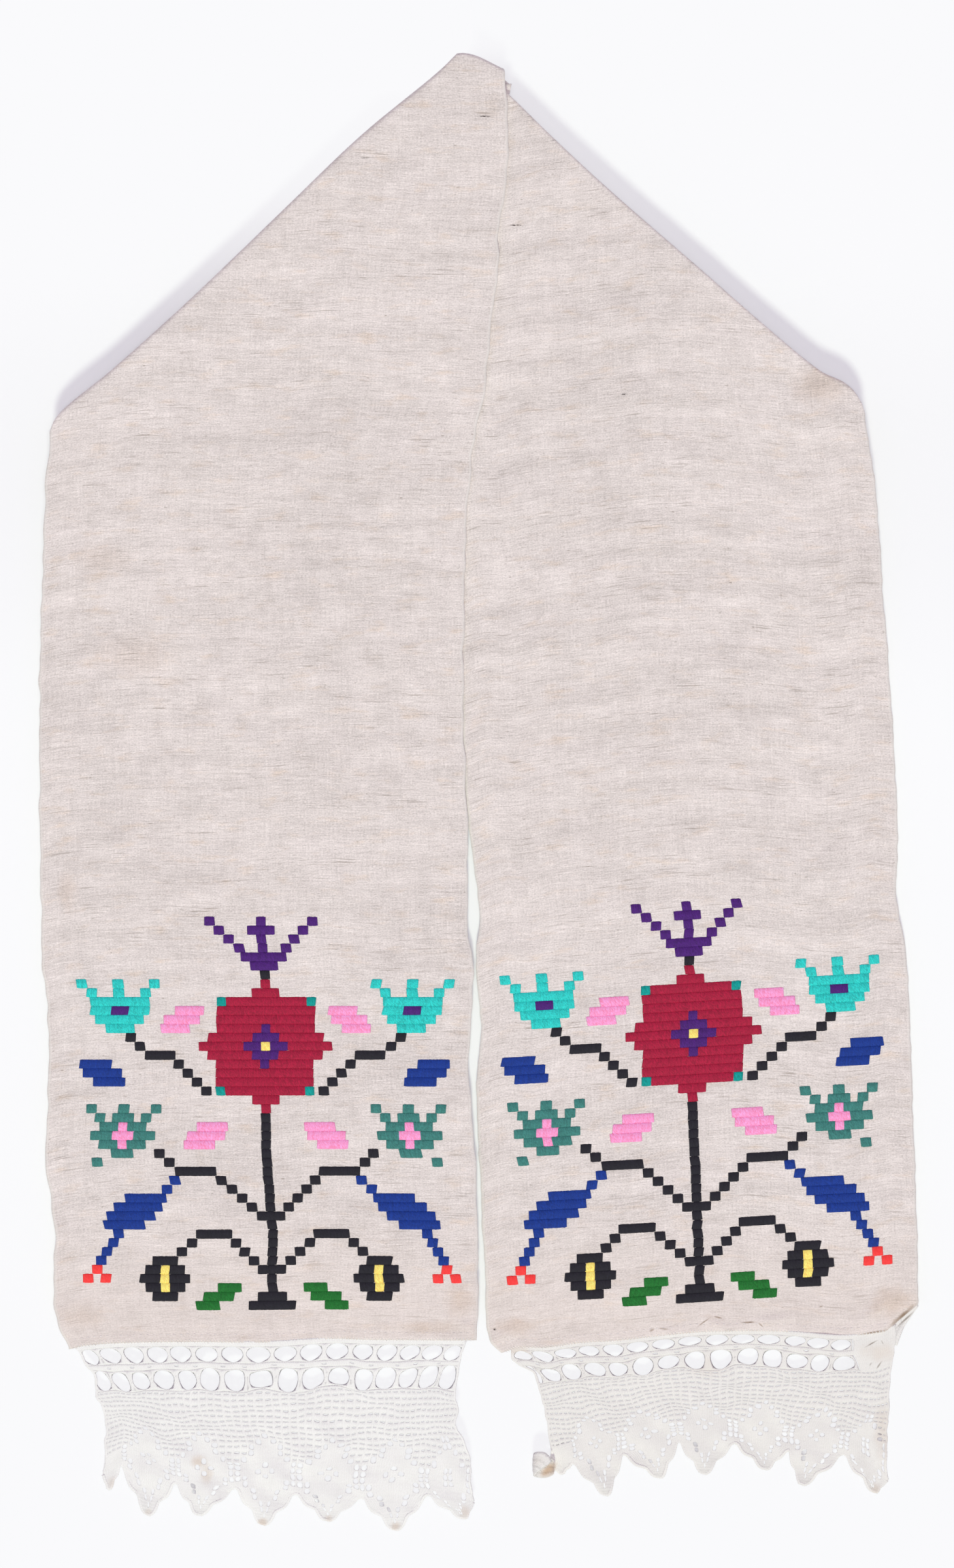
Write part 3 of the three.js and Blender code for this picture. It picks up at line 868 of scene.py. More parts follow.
class Effects:
    """The node groups that the finishes share."""

    def __init__(self) -> None:
        """Builds the groups once."""
        self.weave = self.build_weave()
        self.fibre = self.build_fibre()
        self.posts = self.build_posts()

    @staticmethod
    def build_posts() -> bpy.types.NodeTree:
        """Crochet posts side by side, three to a cell, in uneven thread."""
        nodes, given, result = new_group(
            "crochet_posts", {"Worked": "Vector", "Place": "Vector"}, {"Tone": "Float", "Height": "Float"})
        parts = nodes.add("ShaderNodeSeparateXYZ", {"Vector": given["Worked"]}).outputs
        fibres = nodes.noise(given["Place"], (1100, 900, 900), 2, 0.65)
        patches = nodes.noise(given["Place"], (70, 70, 90), 2, 0.55)
        wander = nodes.math("MULTIPLY", nodes.noise(given["Worked"], (1.3, 3.1, 1), 1, 0.5), 5.0)
        across = nodes.math("ADD", nodes.math("MULTIPLY", parts["X"], 6 * math.pi), wander)
        down = nodes.math("ADD", nodes.math("MULTIPLY", parts["Y"], 4 * math.pi), wander)
        ribs = nodes.math("SINE", across)
        twist = nodes.math("SINE", nodes.math("ADD", across, down))
        relief = nodes.weighted(((ribs, 0.3), (twist, 0.2), (fibres, 0.9)))
        nodes.put(result["Height"], relief)
        nodes.put(result["Tone"], nodes.weighted(((ribs, 0.07), (fibres, 0.55), (patches, 0.45))))
        return nodes.tree

    @staticmethod
    def build_weave() -> bpy.types.NodeTree:
        """Uneven handspun thread: its tone, its dark and warm lengths, and how high the cloth stands."""
        nodes, given, result = new_group(
            "handspun_weave", {"Flat": "Vector"},
            {"Tone": "Float", "Dark": "Float", "Warm": "Float", "Height": "Float"})
        wander = nodes.add("ShaderNodeTexNoise", {"Vector": given["Flat"], "Scale": 9.0}).outputs[1]
        sway = nodes.scaled(wander, (0, 0.006, 0))
        flat = nodes.add("ShaderNodeVectorMath", {0: given["Flat"], 1: sway}).outputs[0]
        grain = nodes.noise(flat, (560, 900, 1), 2, 0.7)
        threads = nodes.noise(flat, (88, 900, 1), 2, 0.6)
        picks = nodes.noise(flat, (24, 560, 1), 2, 0.6)
        bands = nodes.noise(flat, (5, 60, 1), 3, 0.6)
        patches = nodes.noise(flat, (38, 44, 1), 3, 0.6)
        warp = nodes.noise(flat, (620, 30, 1), 2, 0.6)
        clouds = nodes.noise(flat, (6, 9, 1), 2, 0.5)
        terms = ((grain, 1.45), (threads, 0.85), (picks, 0.5), (bands, 0.5), (patches, 0.5), (warp, 0.4),
                 (clouds, 0.3))
        level = 0.5 - sum(w for _, w in terms) / 2
        nodes.put(result["Tone"], nodes.math("ADD", nodes.weighted(terms), level))
        streaks = nodes.span(nodes.noise(flat, (30, 760, 1), 2, 0.6), 0.56, 0.72)
        runs = nodes.span(nodes.noise(flat, (7, 52, 1), 1, 0.5), 0.42, 0.66)
        specks = nodes.span(nodes.noise(flat, (180, 640, 1), 1, 0.5), 0.7, 0.82)
        dark = nodes.weighted(((nodes.math("MULTIPLY", streaks, runs), 0.7), (specks, 0.75)))
        nodes.put(result["Dark"], nodes.math("ADD", dark, 0.0, clamp=True))
        nodes.put(result["Warm"], nodes.span(nodes.noise(flat, (30, 90, 1), 3, 0.6), 0.52, 0.8))
        height = nodes.weighted(((grain, 0.6), (threads, 0.3), (picks, 0.15), (warp, 0.3)))
        nodes.put(result["Height"], height)
        return nodes.tree

    @staticmethod
    def build_fibre() -> bpy.types.NodeTree:
        """Spun fibres: a fine unevenness stretched along a thread."""
        nodes, given, result = new_group("spun_fibre", {"Place": "Vector"}, {"Value": "Float"})
        slanted = nodes.add("ShaderNodeVectorRotate", {"Vector": given["Place"], "Angle": 0.6},
                            rotation_type="Y_AXIS").outputs[0]
        nodes.put(result["Value"], nodes.noise(slanted, (1500, 700, 420), 2, 0.65))
        return nodes.tree

    @staticmethod
    def build_spots(name: str, spots: tuple[Spot, ...]) -> bpy.types.NodeTree:
        """The mask of some stains, uneven at their rims."""
        nodes, given, result = new_group(name, {"Place": "Vector"}, {"Mask": "Float"})
        wobble = nodes.noise(given["Place"], (70, 70, 70), 3, 0.6)
        total: object = 0.0
        for spot in spots:
            middle = (spot.across * MM, 0.0, -spot.down * MM)
            away = nodes.add("ShaderNodeVectorMath", {0: given["Place"], 1: middle}, operation="SUBTRACT")
            turned = nodes.add("ShaderNodeVectorRotate",
                               {"Vector": away.outputs[0], "Angle": -math.radians(spot.tilt)},
                               rotation_type="Y_AXIS")
            size = nodes.scaled(turned.outputs[0], (1 / (spot.wide * MM), 0.0, 1 / (spot.tall * MM)))
            reach = nodes.add("ShaderNodeVectorMath", {0: size}, operation="LENGTH").outputs["Value"]
            rim = nodes.math("ADD", reach, nodes.math("MULTIPLY", wobble, 0.9))
            total = nodes.math("ADD", total, nodes.span(rim, 0.55, 1.4, spot.strength, 0))
        nodes.put(result["Mask"], nodes.math("MULTIPLY", total, 1.0, clamp=True))
        return nodes.tree


def marks(nodes: Nodes, name: str, spots: tuple[Spot, ...], place: object) -> Socket:
    """The mask of some stains at a place."""
    tree = Effects.build_spots(name, spots)
    return nodes.add("ShaderNodeGroup", {"Place": place}, node_tree=tree).outputs["Mask"]


def start_material(name: str, roughness: float) -> tuple[Material, Nodes, bpy.types.Node]:
    """A material with its shader, matt as cloth is.

    Args:
        name: the material's name.
        roughness: of its surface.

    Returns:
        The material, its nodes and its shader.
    """
    material = bpy.data.materials.new(name)
    material.use_nodes = True
    tree = material.node_tree
    tree.nodes.clear()
    nodes = Nodes(tree)
    shader = nodes.add("ShaderNodeBsdfPrincipled", {"Roughness": roughness, "Specular IOR Level": 0.2})
    output = nodes.add("ShaderNodeOutputMaterial")
    tree.links.new(shader.outputs[0], output.inputs["Surface"])
    return material, nodes, shader


@dataclass(frozen=True)
class LinenFinish:
    """Undyed handwoven linen of uneven thread, with pale selvedges, dark flecks, old stains and painted tuck
    shade.
    """

    low: Triple = (190, 180, 177)
    high: Triple = (251, 240, 238)
    dark: Triple = (156, 143, 135)
    warm: Triple = (254, 247, 238)
    calm: Triple = (236, 221, 214)
    pale: Triple = (246, 240, 235)
    stain: Triple = (230, 212, 192)
    fleck: Triple = (52, 38, 34)
    shade: Triple = (150, 128, 110)
    spots: tuple[Spot, ...] = (
        Spot(-24, 1166, 20, 24, 0.35), Spot(-50, 1192, 50, 10, 0.25), Spot(-380, 1182, 30, 20, 0.25),
        Spot(28, 1192, 26, 14, 0.35), Spot(316, 306, 40, 30, 0.35), Spot(384, 1168, 30, 24, 0.4),
        Spot(-330, 560, 60, 30, 0.2), Spot(-360, 470, 40, 24, 0.2), Spot(-392, 780, 14, 30, 0.3),
    )
    flecks: tuple[Spot, ...] = (
        Spot(-1, 53, 8, 1.1, 1), Spot(30, 155, 9, 1.1, 1), Spot(131, 314, 5, 1.1, 1),
        Spot(9, 1195, 2.4, 1.8, 1), Spot(-113, 92, 5, 0.9, 0.7), Spot(66, 75, 5, 0.9, 0.7),
    )
    # Painted shade: dark lines where the cloth tucks or creases, at the turned corner, the flap by the hang
    # point and the hem.
    tuck_shade: tuple[Spot, ...] = (
        Spot(394, 1180.8, 21, 4.0, 1, -40), Spot(27, 16, 4, 12, 0.35), Spot(365, 1197, 19, 1.2, 0.9, -9),
        Spot(206, 1187.5, 9.5, 1.1, 0.8, -36), Spot(219.5, 1183.2, 5.5, 1, 0.7, 15),
        Spot(157, 1195, 3.5, 2, 0.6, -30), Spot(168, 1193.6, 7, 1, 0.7, 6),
        Spot(248, 1188, 10, 1.2, 0.8, -2), Spot(260, 1190.6, 4.5, 1, 0.7, 40),
        Spot(316.7, 1173, 3.5, 1.2, 0.7, -20),
    )

    def build(self, effects: Effects) -> Material:
        """The material."""
        material, nodes, shader = start_material("linen", 0.92)
        flat = nodes.add("ShaderNodeUVMap", uv_map="flat").outputs[0]
        place = nodes.add("ShaderNodeTexCoord").outputs["Object"]
        weave = nodes.add("ShaderNodeGroup", {"Flat": flat}, node_tree=effects.weave)
        colour = nodes.blend(weave.outputs["Tone"], linear(self.low), linear(self.high))
        colour = nodes.blend(weave.outputs["Dark"], colour, linear(self.dark))
        colour = nodes.blend(weave.outputs["Warm"], colour, linear(self.warm), "MULTIPLY")
        low = nodes.add("ShaderNodeSeparateXYZ", {"Vector": place}).outputs["Z"]
        colour = nodes.blend(nodes.span(low, -1.19, -1.06, 0.3, 0), colour, linear(self.calm))
        across = nodes.add("ShaderNodeSeparateXYZ", {"Vector": flat}).outputs["X"]
        half = LinenSize.width * MM / 2
        from_edge = nodes.math("SUBTRACT", half, nodes.math("ABSOLUTE", nodes.math("SUBTRACT", across, half)))
        colour = nodes.blend(nodes.span(from_edge, 0.0014, 0.003, 0.5, 0), colour, linear(self.pale))
        broken = nodes.span(nodes.noise(flat, (420, 700, 1), 2, 0.6), 0.4, 0.5)
        for name, spots, tint, how in (("linen_stains", self.spots, self.stain, "MULTIPLY"),
                                       ("linen_tucks", self.tuck_shade, self.shade, "MIX"),
                                       ("linen_flecks", self.flecks, self.fleck, "MIX")):
            mask = marks(nodes, name, spots, place)
            if spots is self.flecks:
                mask = nodes.math("MULTIPLY", mask, broken)
            colour = nodes.blend(mask, colour, linear(tint), how)
        nodes.put(shader.inputs["Base Color"], colour)
        shader.inputs["Sheen Weight"].default_value = 0.5
        shader.inputs["Sheen Roughness"].default_value = 0.4
        nodes.relief(shader, weave.outputs["Height"], 0.6, 0.0006)
        return material


@dataclass(frozen=True)
class ThreadFinish:
    """Spun thread: soft, a little uneven from stitch to stitch.

    Args:
        name: the material's name.
        colour: of the thread.
        vary: how much lighter or darker a stitch can be.
        roughness: of its surface.
        sheen: how much its fibres catch the light.
    """

    name: str
    colour: Triple
    vary: float = 0.16
    roughness: float = 0.62
    sheen: float = 0.06

    def build(self, effects: Effects) -> Material:
        """The material."""
        material, nodes, shader = start_material(self.name, self.roughness)
        shader.inputs["Sheen Weight"].default_value = self.sheen
        place = nodes.add("ShaderNodeTexCoord").outputs["Object"]
        fibre = nodes.add("ShaderNodeGroup", {"Place": place}, node_tree=effects.fibre)
        tone = nodes.add("ShaderNodeAttribute", attribute_name="tone").outputs["Fac"]
        spun = nodes.span(fibre.outputs["Value"], 0.3, 0.7)
        mixed = nodes.weighted(((tone, 0.2), (spun, 0.8)))
        reach = [min(c * self.vary, 255 - c) for c in self.colour]
        lower = linear(tuple(c - r for c, r in zip(self.colour, reach)))
        upper = linear(tuple(c + r for c, r in zip(self.colour, reach)))
        colour = nodes.blend(mixed, lower, upper)
        nodes.put(shader.inputs["Base Color"], colour)
        nodes.relief(shader, fibre.outputs["Value"], 0.5, 0.0003)
        return material


@dataclass(frozen=True)
class LaceFinish:
    """Close crochet of soft bleached cotton: its posts, its fibres, its stains and painted shade."""

    name: str
    low: Triple
    high: Triple
    spots: tuple[Spot, ...] = ()
    # Painted shade along the lace's folds and tucks.
    folds: tuple[Spot, ...] = ()
    # Tints the stains, and also the painted shade inside the curled corner.
    stain: Triple = (224, 200, 178)
    shade: Triple = (168, 160, 152)

    def build(self, effects: Effects) -> Material:
        """The material."""
        material, nodes, shader = start_material(self.name, 0.9)
        worked = nodes.add("ShaderNodeUVMap", uv_map="flat").outputs[0]
        place = nodes.add("ShaderNodeTexCoord").outputs["Object"]
        crochet_posts = nodes.add("ShaderNodeGroup", {"Worked": worked, "Place": place},
                                  node_tree=effects.posts)
        colour = nodes.blend(crochet_posts.outputs["Tone"], linear(self.low), linear(self.high))
        # Stains, with painted shade inside the curled corner, then painted shade in the folds.
        for kind, spots, tint in (("stains", self.spots, self.stain), ("folds", self.folds, self.shade)):
            mask = marks(nodes, f"{self.name}_{kind}", spots, place)
            colour = nodes.blend(mask, colour, linear(tint), "MULTIPLY")
        nodes.put(shader.inputs["Base Color"], colour)
        nodes.relief(shader, crochet_posts.outputs["Height"], 0.5, 0.0004)
        return material


# The embroidery


class Thread(Enum):
    """The embroidery threads and their colours."""

    CRIMSON = (165, 25, 60)
    PURPLE = (75, 30, 115)
    BLACK = (35, 33, 42)
    PINK = (250, 155, 205)
    BLUE = (22, 55, 140)
    TEAL = (62, 125, 120)
    TURQUOISE = (45, 200, 195)
    DEEP_TURQUOISE = (0, 150, 145)
    GREEN = (30, 110, 45)
    YELLOW = (250, 225, 120)
    RED = (250, 65, 65)


@dataclass(frozen=True)
class Run:
    """A row of satin stitches side by side: its row, its two ends in cells, and its thread."""

    row: float
    start: float
    end: float
    thread: Thread


@dataclass
class Chart:
    """A counted pattern, drawn on its right half and mirrored on its left one."""

    runs: list[Run] = field(default_factory=list)

    def lay(self, thread: Thread, row: float, start: float, end: float) -> None:
        """A run and its mirror image, over whatever was there."""
        for low, high in {(start, end), (-end, -start)}:
            kept = []
            for run in self.runs:
                if run.row != row or run.end <= low or run.start >= high:
                    kept.append(run)
                    continue
                if run.start < low:
                    kept.append(Run(row, run.start, low, run.thread))
                if run.end > high:
                    kept.append(Run(row, high, run.end, run.thread))
            self.runs = [*kept, Run(row, low, high, thread)]

    def chain(self, thread: Thread, column: float, row: float, right: float, up: int, count: int) -> None:
        """Single blocks that meet at their corners."""
        for step in range(count):
            middle = column + right * step
            self.lay(thread, row + up * step, middle - 0.55, middle + 0.55)

    def stack(self, thread: Thread, row: int, count: int, half: float = 0.5) -> None:
        """A stem up the middle."""
        for step in range(count):
            self.lay(thread, row + step, -half, half)

    def shape(self, thread: Thread, column: float, row: int, halves: tuple[float, ...],
              lean: float = 0.0) -> None:
        """Rows from the bottom up, each with its half width, each set over by a lean."""
        for step, half in enumerate(halves):
            middle = column + lean * step
            self.lay(thread, row + step, middle - half, middle + half)

    def leaf(self, thread: Thread, column: float, row: int, wide: float, lean: float, rows: int) -> None:
        """A slanted leaf: rows of one width, the first and last of them shorter."""
        for step in range(rows):
            short = 0.8 if step in (0, rows - 1) else 0
            middle = column + lean * step
            self.lay(thread, row + step, middle - (wide - short) / 2, middle + (wide - short) / 2)

    def pile(self, thread: Thread, column: float, row: int) -> None:
        """Three blocks, one over another."""
        for step in (0, -1, 1):
            self.lay(thread, row + step, column - 0.5, column + 0.5)


def flowering_bush() -> Chart:
    """A flowering bush with one star bloom on a straight stem, the same to both sides."""
    chart = Chart()
    chart.stack(Thread.BLACK, 2, 21)
    chart.shape(Thread.BLACK, 0, 0, (2.6, 1.6))
    star = (0.5, 1.5, 5.5, 5.5, 5.5, 5.5, 6.5, 7.5, 6.5, 5.5, 5.5, 5.5, 5.5, 1.5, 0.5)
    chart.shape(Thread.CRIMSON, 0, 22, star)
    chart.shape(Thread.PURPLE, 0, 27, (0.5, 1.5, 2.5, 1.5, 0.5))
    chart.lay(Thread.YELLOW, 29, -0.5, 0.5)
    chart.lay(Thread.DEEP_TURQUOISE, 24, 4.5, 5.5)
    chart.lay(Thread.DEEP_TURQUOISE, 34, 4.5, 5.5)
    chart.stack(Thread.BLACK, 37, 1)
    chart.shape(Thread.PURPLE, 0, 38, (1.5, 2.5))
    chart.chain(Thread.PURPLE, 2.6, 40, 1.05, 1, 4)
    chart.shape(Thread.PURPLE, 0, 40, (0.5, 0.5, 1.5, 0.5))
    chart.chain(Thread.BLACK, 1, 4, 1.05, 1, 4)
    chart.lay(Thread.BLACK, 8, 4.6, 8.6)
    chart.chain(Thread.BLACK, 9.1, 7, 1.05, -1, 2)
    chart.shape(Thread.BLACK, 12, 1, (1.4, 2.2, 2.8, 2.2, 1.4))
    chart.pile(Thread.YELLOW, 12, 3)
    chart.leaf(Thread.GREEN, 7.2, 0, 3.4, -1.2, 3)
    chart.chain(Thread.BLACK, 1, 10, 1.05, 1, 5)
    chart.lay(Thread.BLACK, 15, 5.7, 10.2)
    chart.chain(Thread.BLACK, 10.8, 16, 1.05, 1, 2)
    chart.shape(Thread.TEAL, 16, 17, (1.2, 2.6, 3.6, 2.6, 1.2))
    chart.shape(Thread.PINK, 16, 18, (0.5, 1.2, 0.5))
    chart.chain(Thread.TEAL, 18.6, 21, 1.05, 1, 2)
    chart.chain(Thread.TEAL, 13.4, 21, -1.05, 1, 2)
    chart.lay(Thread.TEAL, 22, 15.4, 16.6)
    chart.chain(Thread.TEAL, 18.8, 16, 1.05, -1, 1)
    chart.leaf(Thread.PINK, 7.4, 18, 4.2, -0.7, 3)
    chart.leaf(Thread.BLUE, 16.6, 9, 5.4, -0.9, 4)
    chart.chain(Thread.BLUE, 11.4, 13, -1.05, 1, 2)
    chart.chain(Thread.BLUE, 17.4, 8, 0.6, -1, 4)
    chart.lay(Thread.RED, 4, 19.1, 20.2)
    chart.lay(Thread.RED, 3, 18.1, 19.2)
    chart.lay(Thread.RED, 3, 20.1, 21.2)
    chart.chain(Thread.BLACK, 6.6, 24, 1.05, 1, 4)
    chart.lay(Thread.BLACK, 28, 10.2, 13.6)
    chart.chain(Thread.BLACK, 14.2, 29, 1.05, 1, 2)
    chart.shape(Thread.TURQUOISE, 16.4, 31, (1.6, 2.7, 3.3, 3.3))
    chart.chain(Thread.TURQUOISE, 19.4, 35, 1.05, 1, 2)
    chart.chain(Thread.TURQUOISE, 13.4, 35, -1.05, 1, 2)
    chart.shape(Thread.TURQUOISE, 16.4, 35, (0.6, 0.6))
    chart.lay(Thread.PURPLE, 33, 15.4, 17.4)
    chart.leaf(Thread.PINK, 10.2, 31, 4, -0.8, 3)
    chart.leaf(Thread.BLUE, 17.6, 25, 4.4, 0.8, 3)
    return chart


@dataclass(frozen=True)
class Place:
    """Where the pattern lies on an arm (mm).

    Args:
        arm: the arm.
        across: how far right of the arm's middle the pattern's middle is.
        base: the height below the hang point, by share, from which the pattern is counted up.
        up: how far above that it starts.
        stretch: how much taller it is than charted.
    """

    arm: Arm
    across: float
    base: Table
    up: float
    stretch: float

    def drape(self, points: Array) -> Array:
        """Flat points laid on the arm: across, up and proud of the middle surface, in mm."""
        share = 0.5 + self.arm.way * (points[:, 0] + self.across) / LinenSize.width
        up = self.arm.hem.at(share) - self.base.at(share) + self.up + points[:, 1] * self.stretch
        return self.arm.drape(share, up, points[:, 2])


@dataclass
class Embroidery:
    """Satin stitch over counted threads, worked through the linen, so that it shows on both sides."""

    cell: float = 8.4
    pitch: float = 1.3
    overlap: float = 0.35

    @staticmethod
    def stitch(rings: tuple[Triple, ...], way: int) -> Shape:
        """One satin stitch: a little flat-topped arch of thread, a unit long, wide and high."""
        points = []
        for along, wide, high in rings:
            points += [(-wide / 2, along, high * 0.25 * way), (-wide * 0.3, along, high * way),
                       (wide * 0.3, along, high * way), (wide / 2, along, high * 0.25 * way)]
        faces = []
        for a in range(0, 4 * len(rings) - 4, 4):
            for side in range(4):
                other = (side + 1) % 4
                quad = [a + side, a + side + 4, a + other + 4, a + other]
                faces.append(quad if way > 0 else quad[::-1])
        last = 4 * len(rings) - 4
        ends = [[0, 1, 2, 3], [last + 3, last + 2, last + 1, last]]
        faces += ends if way > 0 else [quad[::-1] for quad in ends]
        return np.array(points, float), np.array(faces)

    def build(self, repeater: StitchRepeater, effects: Effects) -> list[Object]:
        """Every thread's stitches on both arms, a piece for each thread."""
        front = self.stitch(((-0.5, 0.98, 0.1), (-0.42, 1, 0.95), (0.42, 1, 0.95), (0.5, 0.98, 0.1)), 1)
        back = self.stitch(((-0.5, 0.9, 0.1), (0, 1, 1), (0.5, 0.9, 0.1)), -1)
        hems = (Table("share", "down", ((0, 1204.5), (1, 1204.5))),
                Table("share", "down", ((0, 1196), (1, 1219))))
        places = (Place(LEFT_ARM, 6, hems[0], 29, 1.0), Place(RIGHT_ARM, -2, hems[1], 39, 1.02))
        chart = flowering_bush()
        pieces = []
        for thread in Thread:
            runs = [run for run in chart.runs if run.thread is thread]
            if not runs:
                continue
            finish = ThreadFinish(f"thread_{thread.name.lower()}", thread.value).build(effects)
            spots, sizes, turns = self.stitches(runs)
            parts, tones = [], []
            for stitch, high, way in ((front, 0.85, 1), (back, 0.6, -1)):
                sizes[:, 2] = high
                laid = repeater.lay(stitch, spots, sizes, finish, turns=turns, slant=0.05, loft=0.12)
                laid.points[:, 2] += way * (LinenSize.half_thickness - SUNK)
                for place in places:
                    parts.append((place.drape(laid.points), laid.faces))
                    tones.append(laid.tone)
            piece = make_piece(f"embroidery_{thread.name.lower()}", *joined(parts),
                               tone=np.concatenate(tones))
            piece.data.materials.append(finish)
            pieces.append(piece)
        return pieces

    def stitches(self, runs: list[Run]) -> tuple[Array, Array, Array]:
        """The flat place, size and turn of each stitch of some runs."""
        draw = np.random.default_rng(SEED)
        places, sizes, turns = [], [], []
        for run in runs:
            wide = (run.end - run.start) * self.cell
            count = max(round(wide / self.pitch), 1)
            step = wide / count
            row = (run.row + 0.5) * self.cell + draw.normal(0, 0.05)
            lean = draw.normal(0, 0.06)
            for index in range(count):
                across = run.start * self.cell + step * (index + 0.5)
                short = 0.5 if index in (0, count - 1) else 0.0
                places.append((across, row + draw.normal(0, 0.05), 0))
                sizes.append((step * 1.55, self.cell + self.overlap - short + draw.normal(0, 0.08), 1))
                turns.append(lean)
        return np.array(places), np.array(sizes), np.array(turns)


# The laces


class Stitch(Enum):
    """The crochet stitches of the lace, each by half the width and height of its hole, in cells."""

    MESH = (0.32, 0.085)
    SOLID = (0, 0)
    EYELET = (0.39, 0.43)


@dataclass(frozen=True)
class OpenRow:
    """The shape of the openings of an open row, in shares of the stretch of lace that each takes.

    Args:
        wide: half an opening's width.
        tall: half its height.
        power: how square it is, from 2 for an oval.
        pointed: how much it narrows below.
        uneven: how much the openings differ.
    """

    wide: float
    tall: float
    power: float
    pointed: float
    uneven: float


# How many points go round a cell and a cord, how many cells a chart and a diamond are wide, the size
# of a stitch of a cord and the step between its points (mm), and how close two points are one (m).
CELL_SIDES, CORD_SIDES = 16, 8
CHART_WIDE, DIAMOND = 60, 9
CORD_STITCH, CORD_STEP = 6.4, 1.7
WELD = 1e-5
OPEN_ROWS = (OpenRow(0.42, 0.475, 2.15, 0.4, 0.06), OpenRow(0.4, 0.47, 2.2, 0.12, 0.06))


@dataclass(frozen=True)
class Ribbon:
    """A flat cord: its path across and down, half its width and thickness, how proud it lies (mm).

    Its threads run lengthwise, or else across it.
    """

    path: Array
    wide: float
    high: float
    proud: float
    lengthwise: bool


FLANK = Table("down", "inward", (
    (0, 0.05), (0.05, 0.15), (0.28, 0.26), (0.45, 0.38), (0.58, 0.62), (0.76, 0.71), (0.92, 0.81), (1, 0.93)))


@dataclass(frozen=True)
class Scallop:
    """One point of the lace's lower edge and the notch after it (mm), and how many cells wide it is."""

    tip: float
    low: float
    notch: float
    high: float
    cells: int


@dataclass(frozen=True)
class LaceRows:
    """The lace's rows as worked, by their drop below the hem (mm)."""

    base: float = 4.2
    first_open: float = 20.5
    band: float = 27
    second_open: float = 46
    ground: float = 144.2
    ground_rows: int = 18
    tip_rows: int = 6
    centre_row: float = 14.6
    half_height: float = 6.2
    half_below: float = 8.4


@dataclass(frozen=True)
class Cell:
    """One cell of the lace: its stitch, its column and row, and its corners across and down in mm."""

    stitch: Stitch
    worked: tuple[float, float]
    corners: tuple[tuple[float, float], ...]


class Gathered:
    """The parts of a lace as they are made."""

    def __init__(self) -> None:
        """Starts with none."""
        self.start = 0
        self.parts: list[tuple[Array, ...]] = []

    def add(self, points: Array, faces: Array, tone: Array | float, flat: Array, mates: Array,
            sharp: Array) -> None:
        """Adds a part.

        Args:
            points: its points, in metres.
            faces: its quads.
            tone: by which its finish varies.
            flat: its place in stitches.
            mates: what mated gives for its points.
            sharp: which of its quads are shaded flat.
        """
        tones = np.broadcast_to(tone, len(points))
        mates = np.where(mates < 0, -1, mates + self.start)
        self.parts.append((points, faces + self.start, tones, flat, mates, sharp))
        self.start += len(points)

    def whole(self) -> tuple[Array, ...]:
        """The points, quads, tones, flat places, mates and sharp quads of all the parts."""
        return tuple(np.concatenate(column) for column in zip(*self.parts))


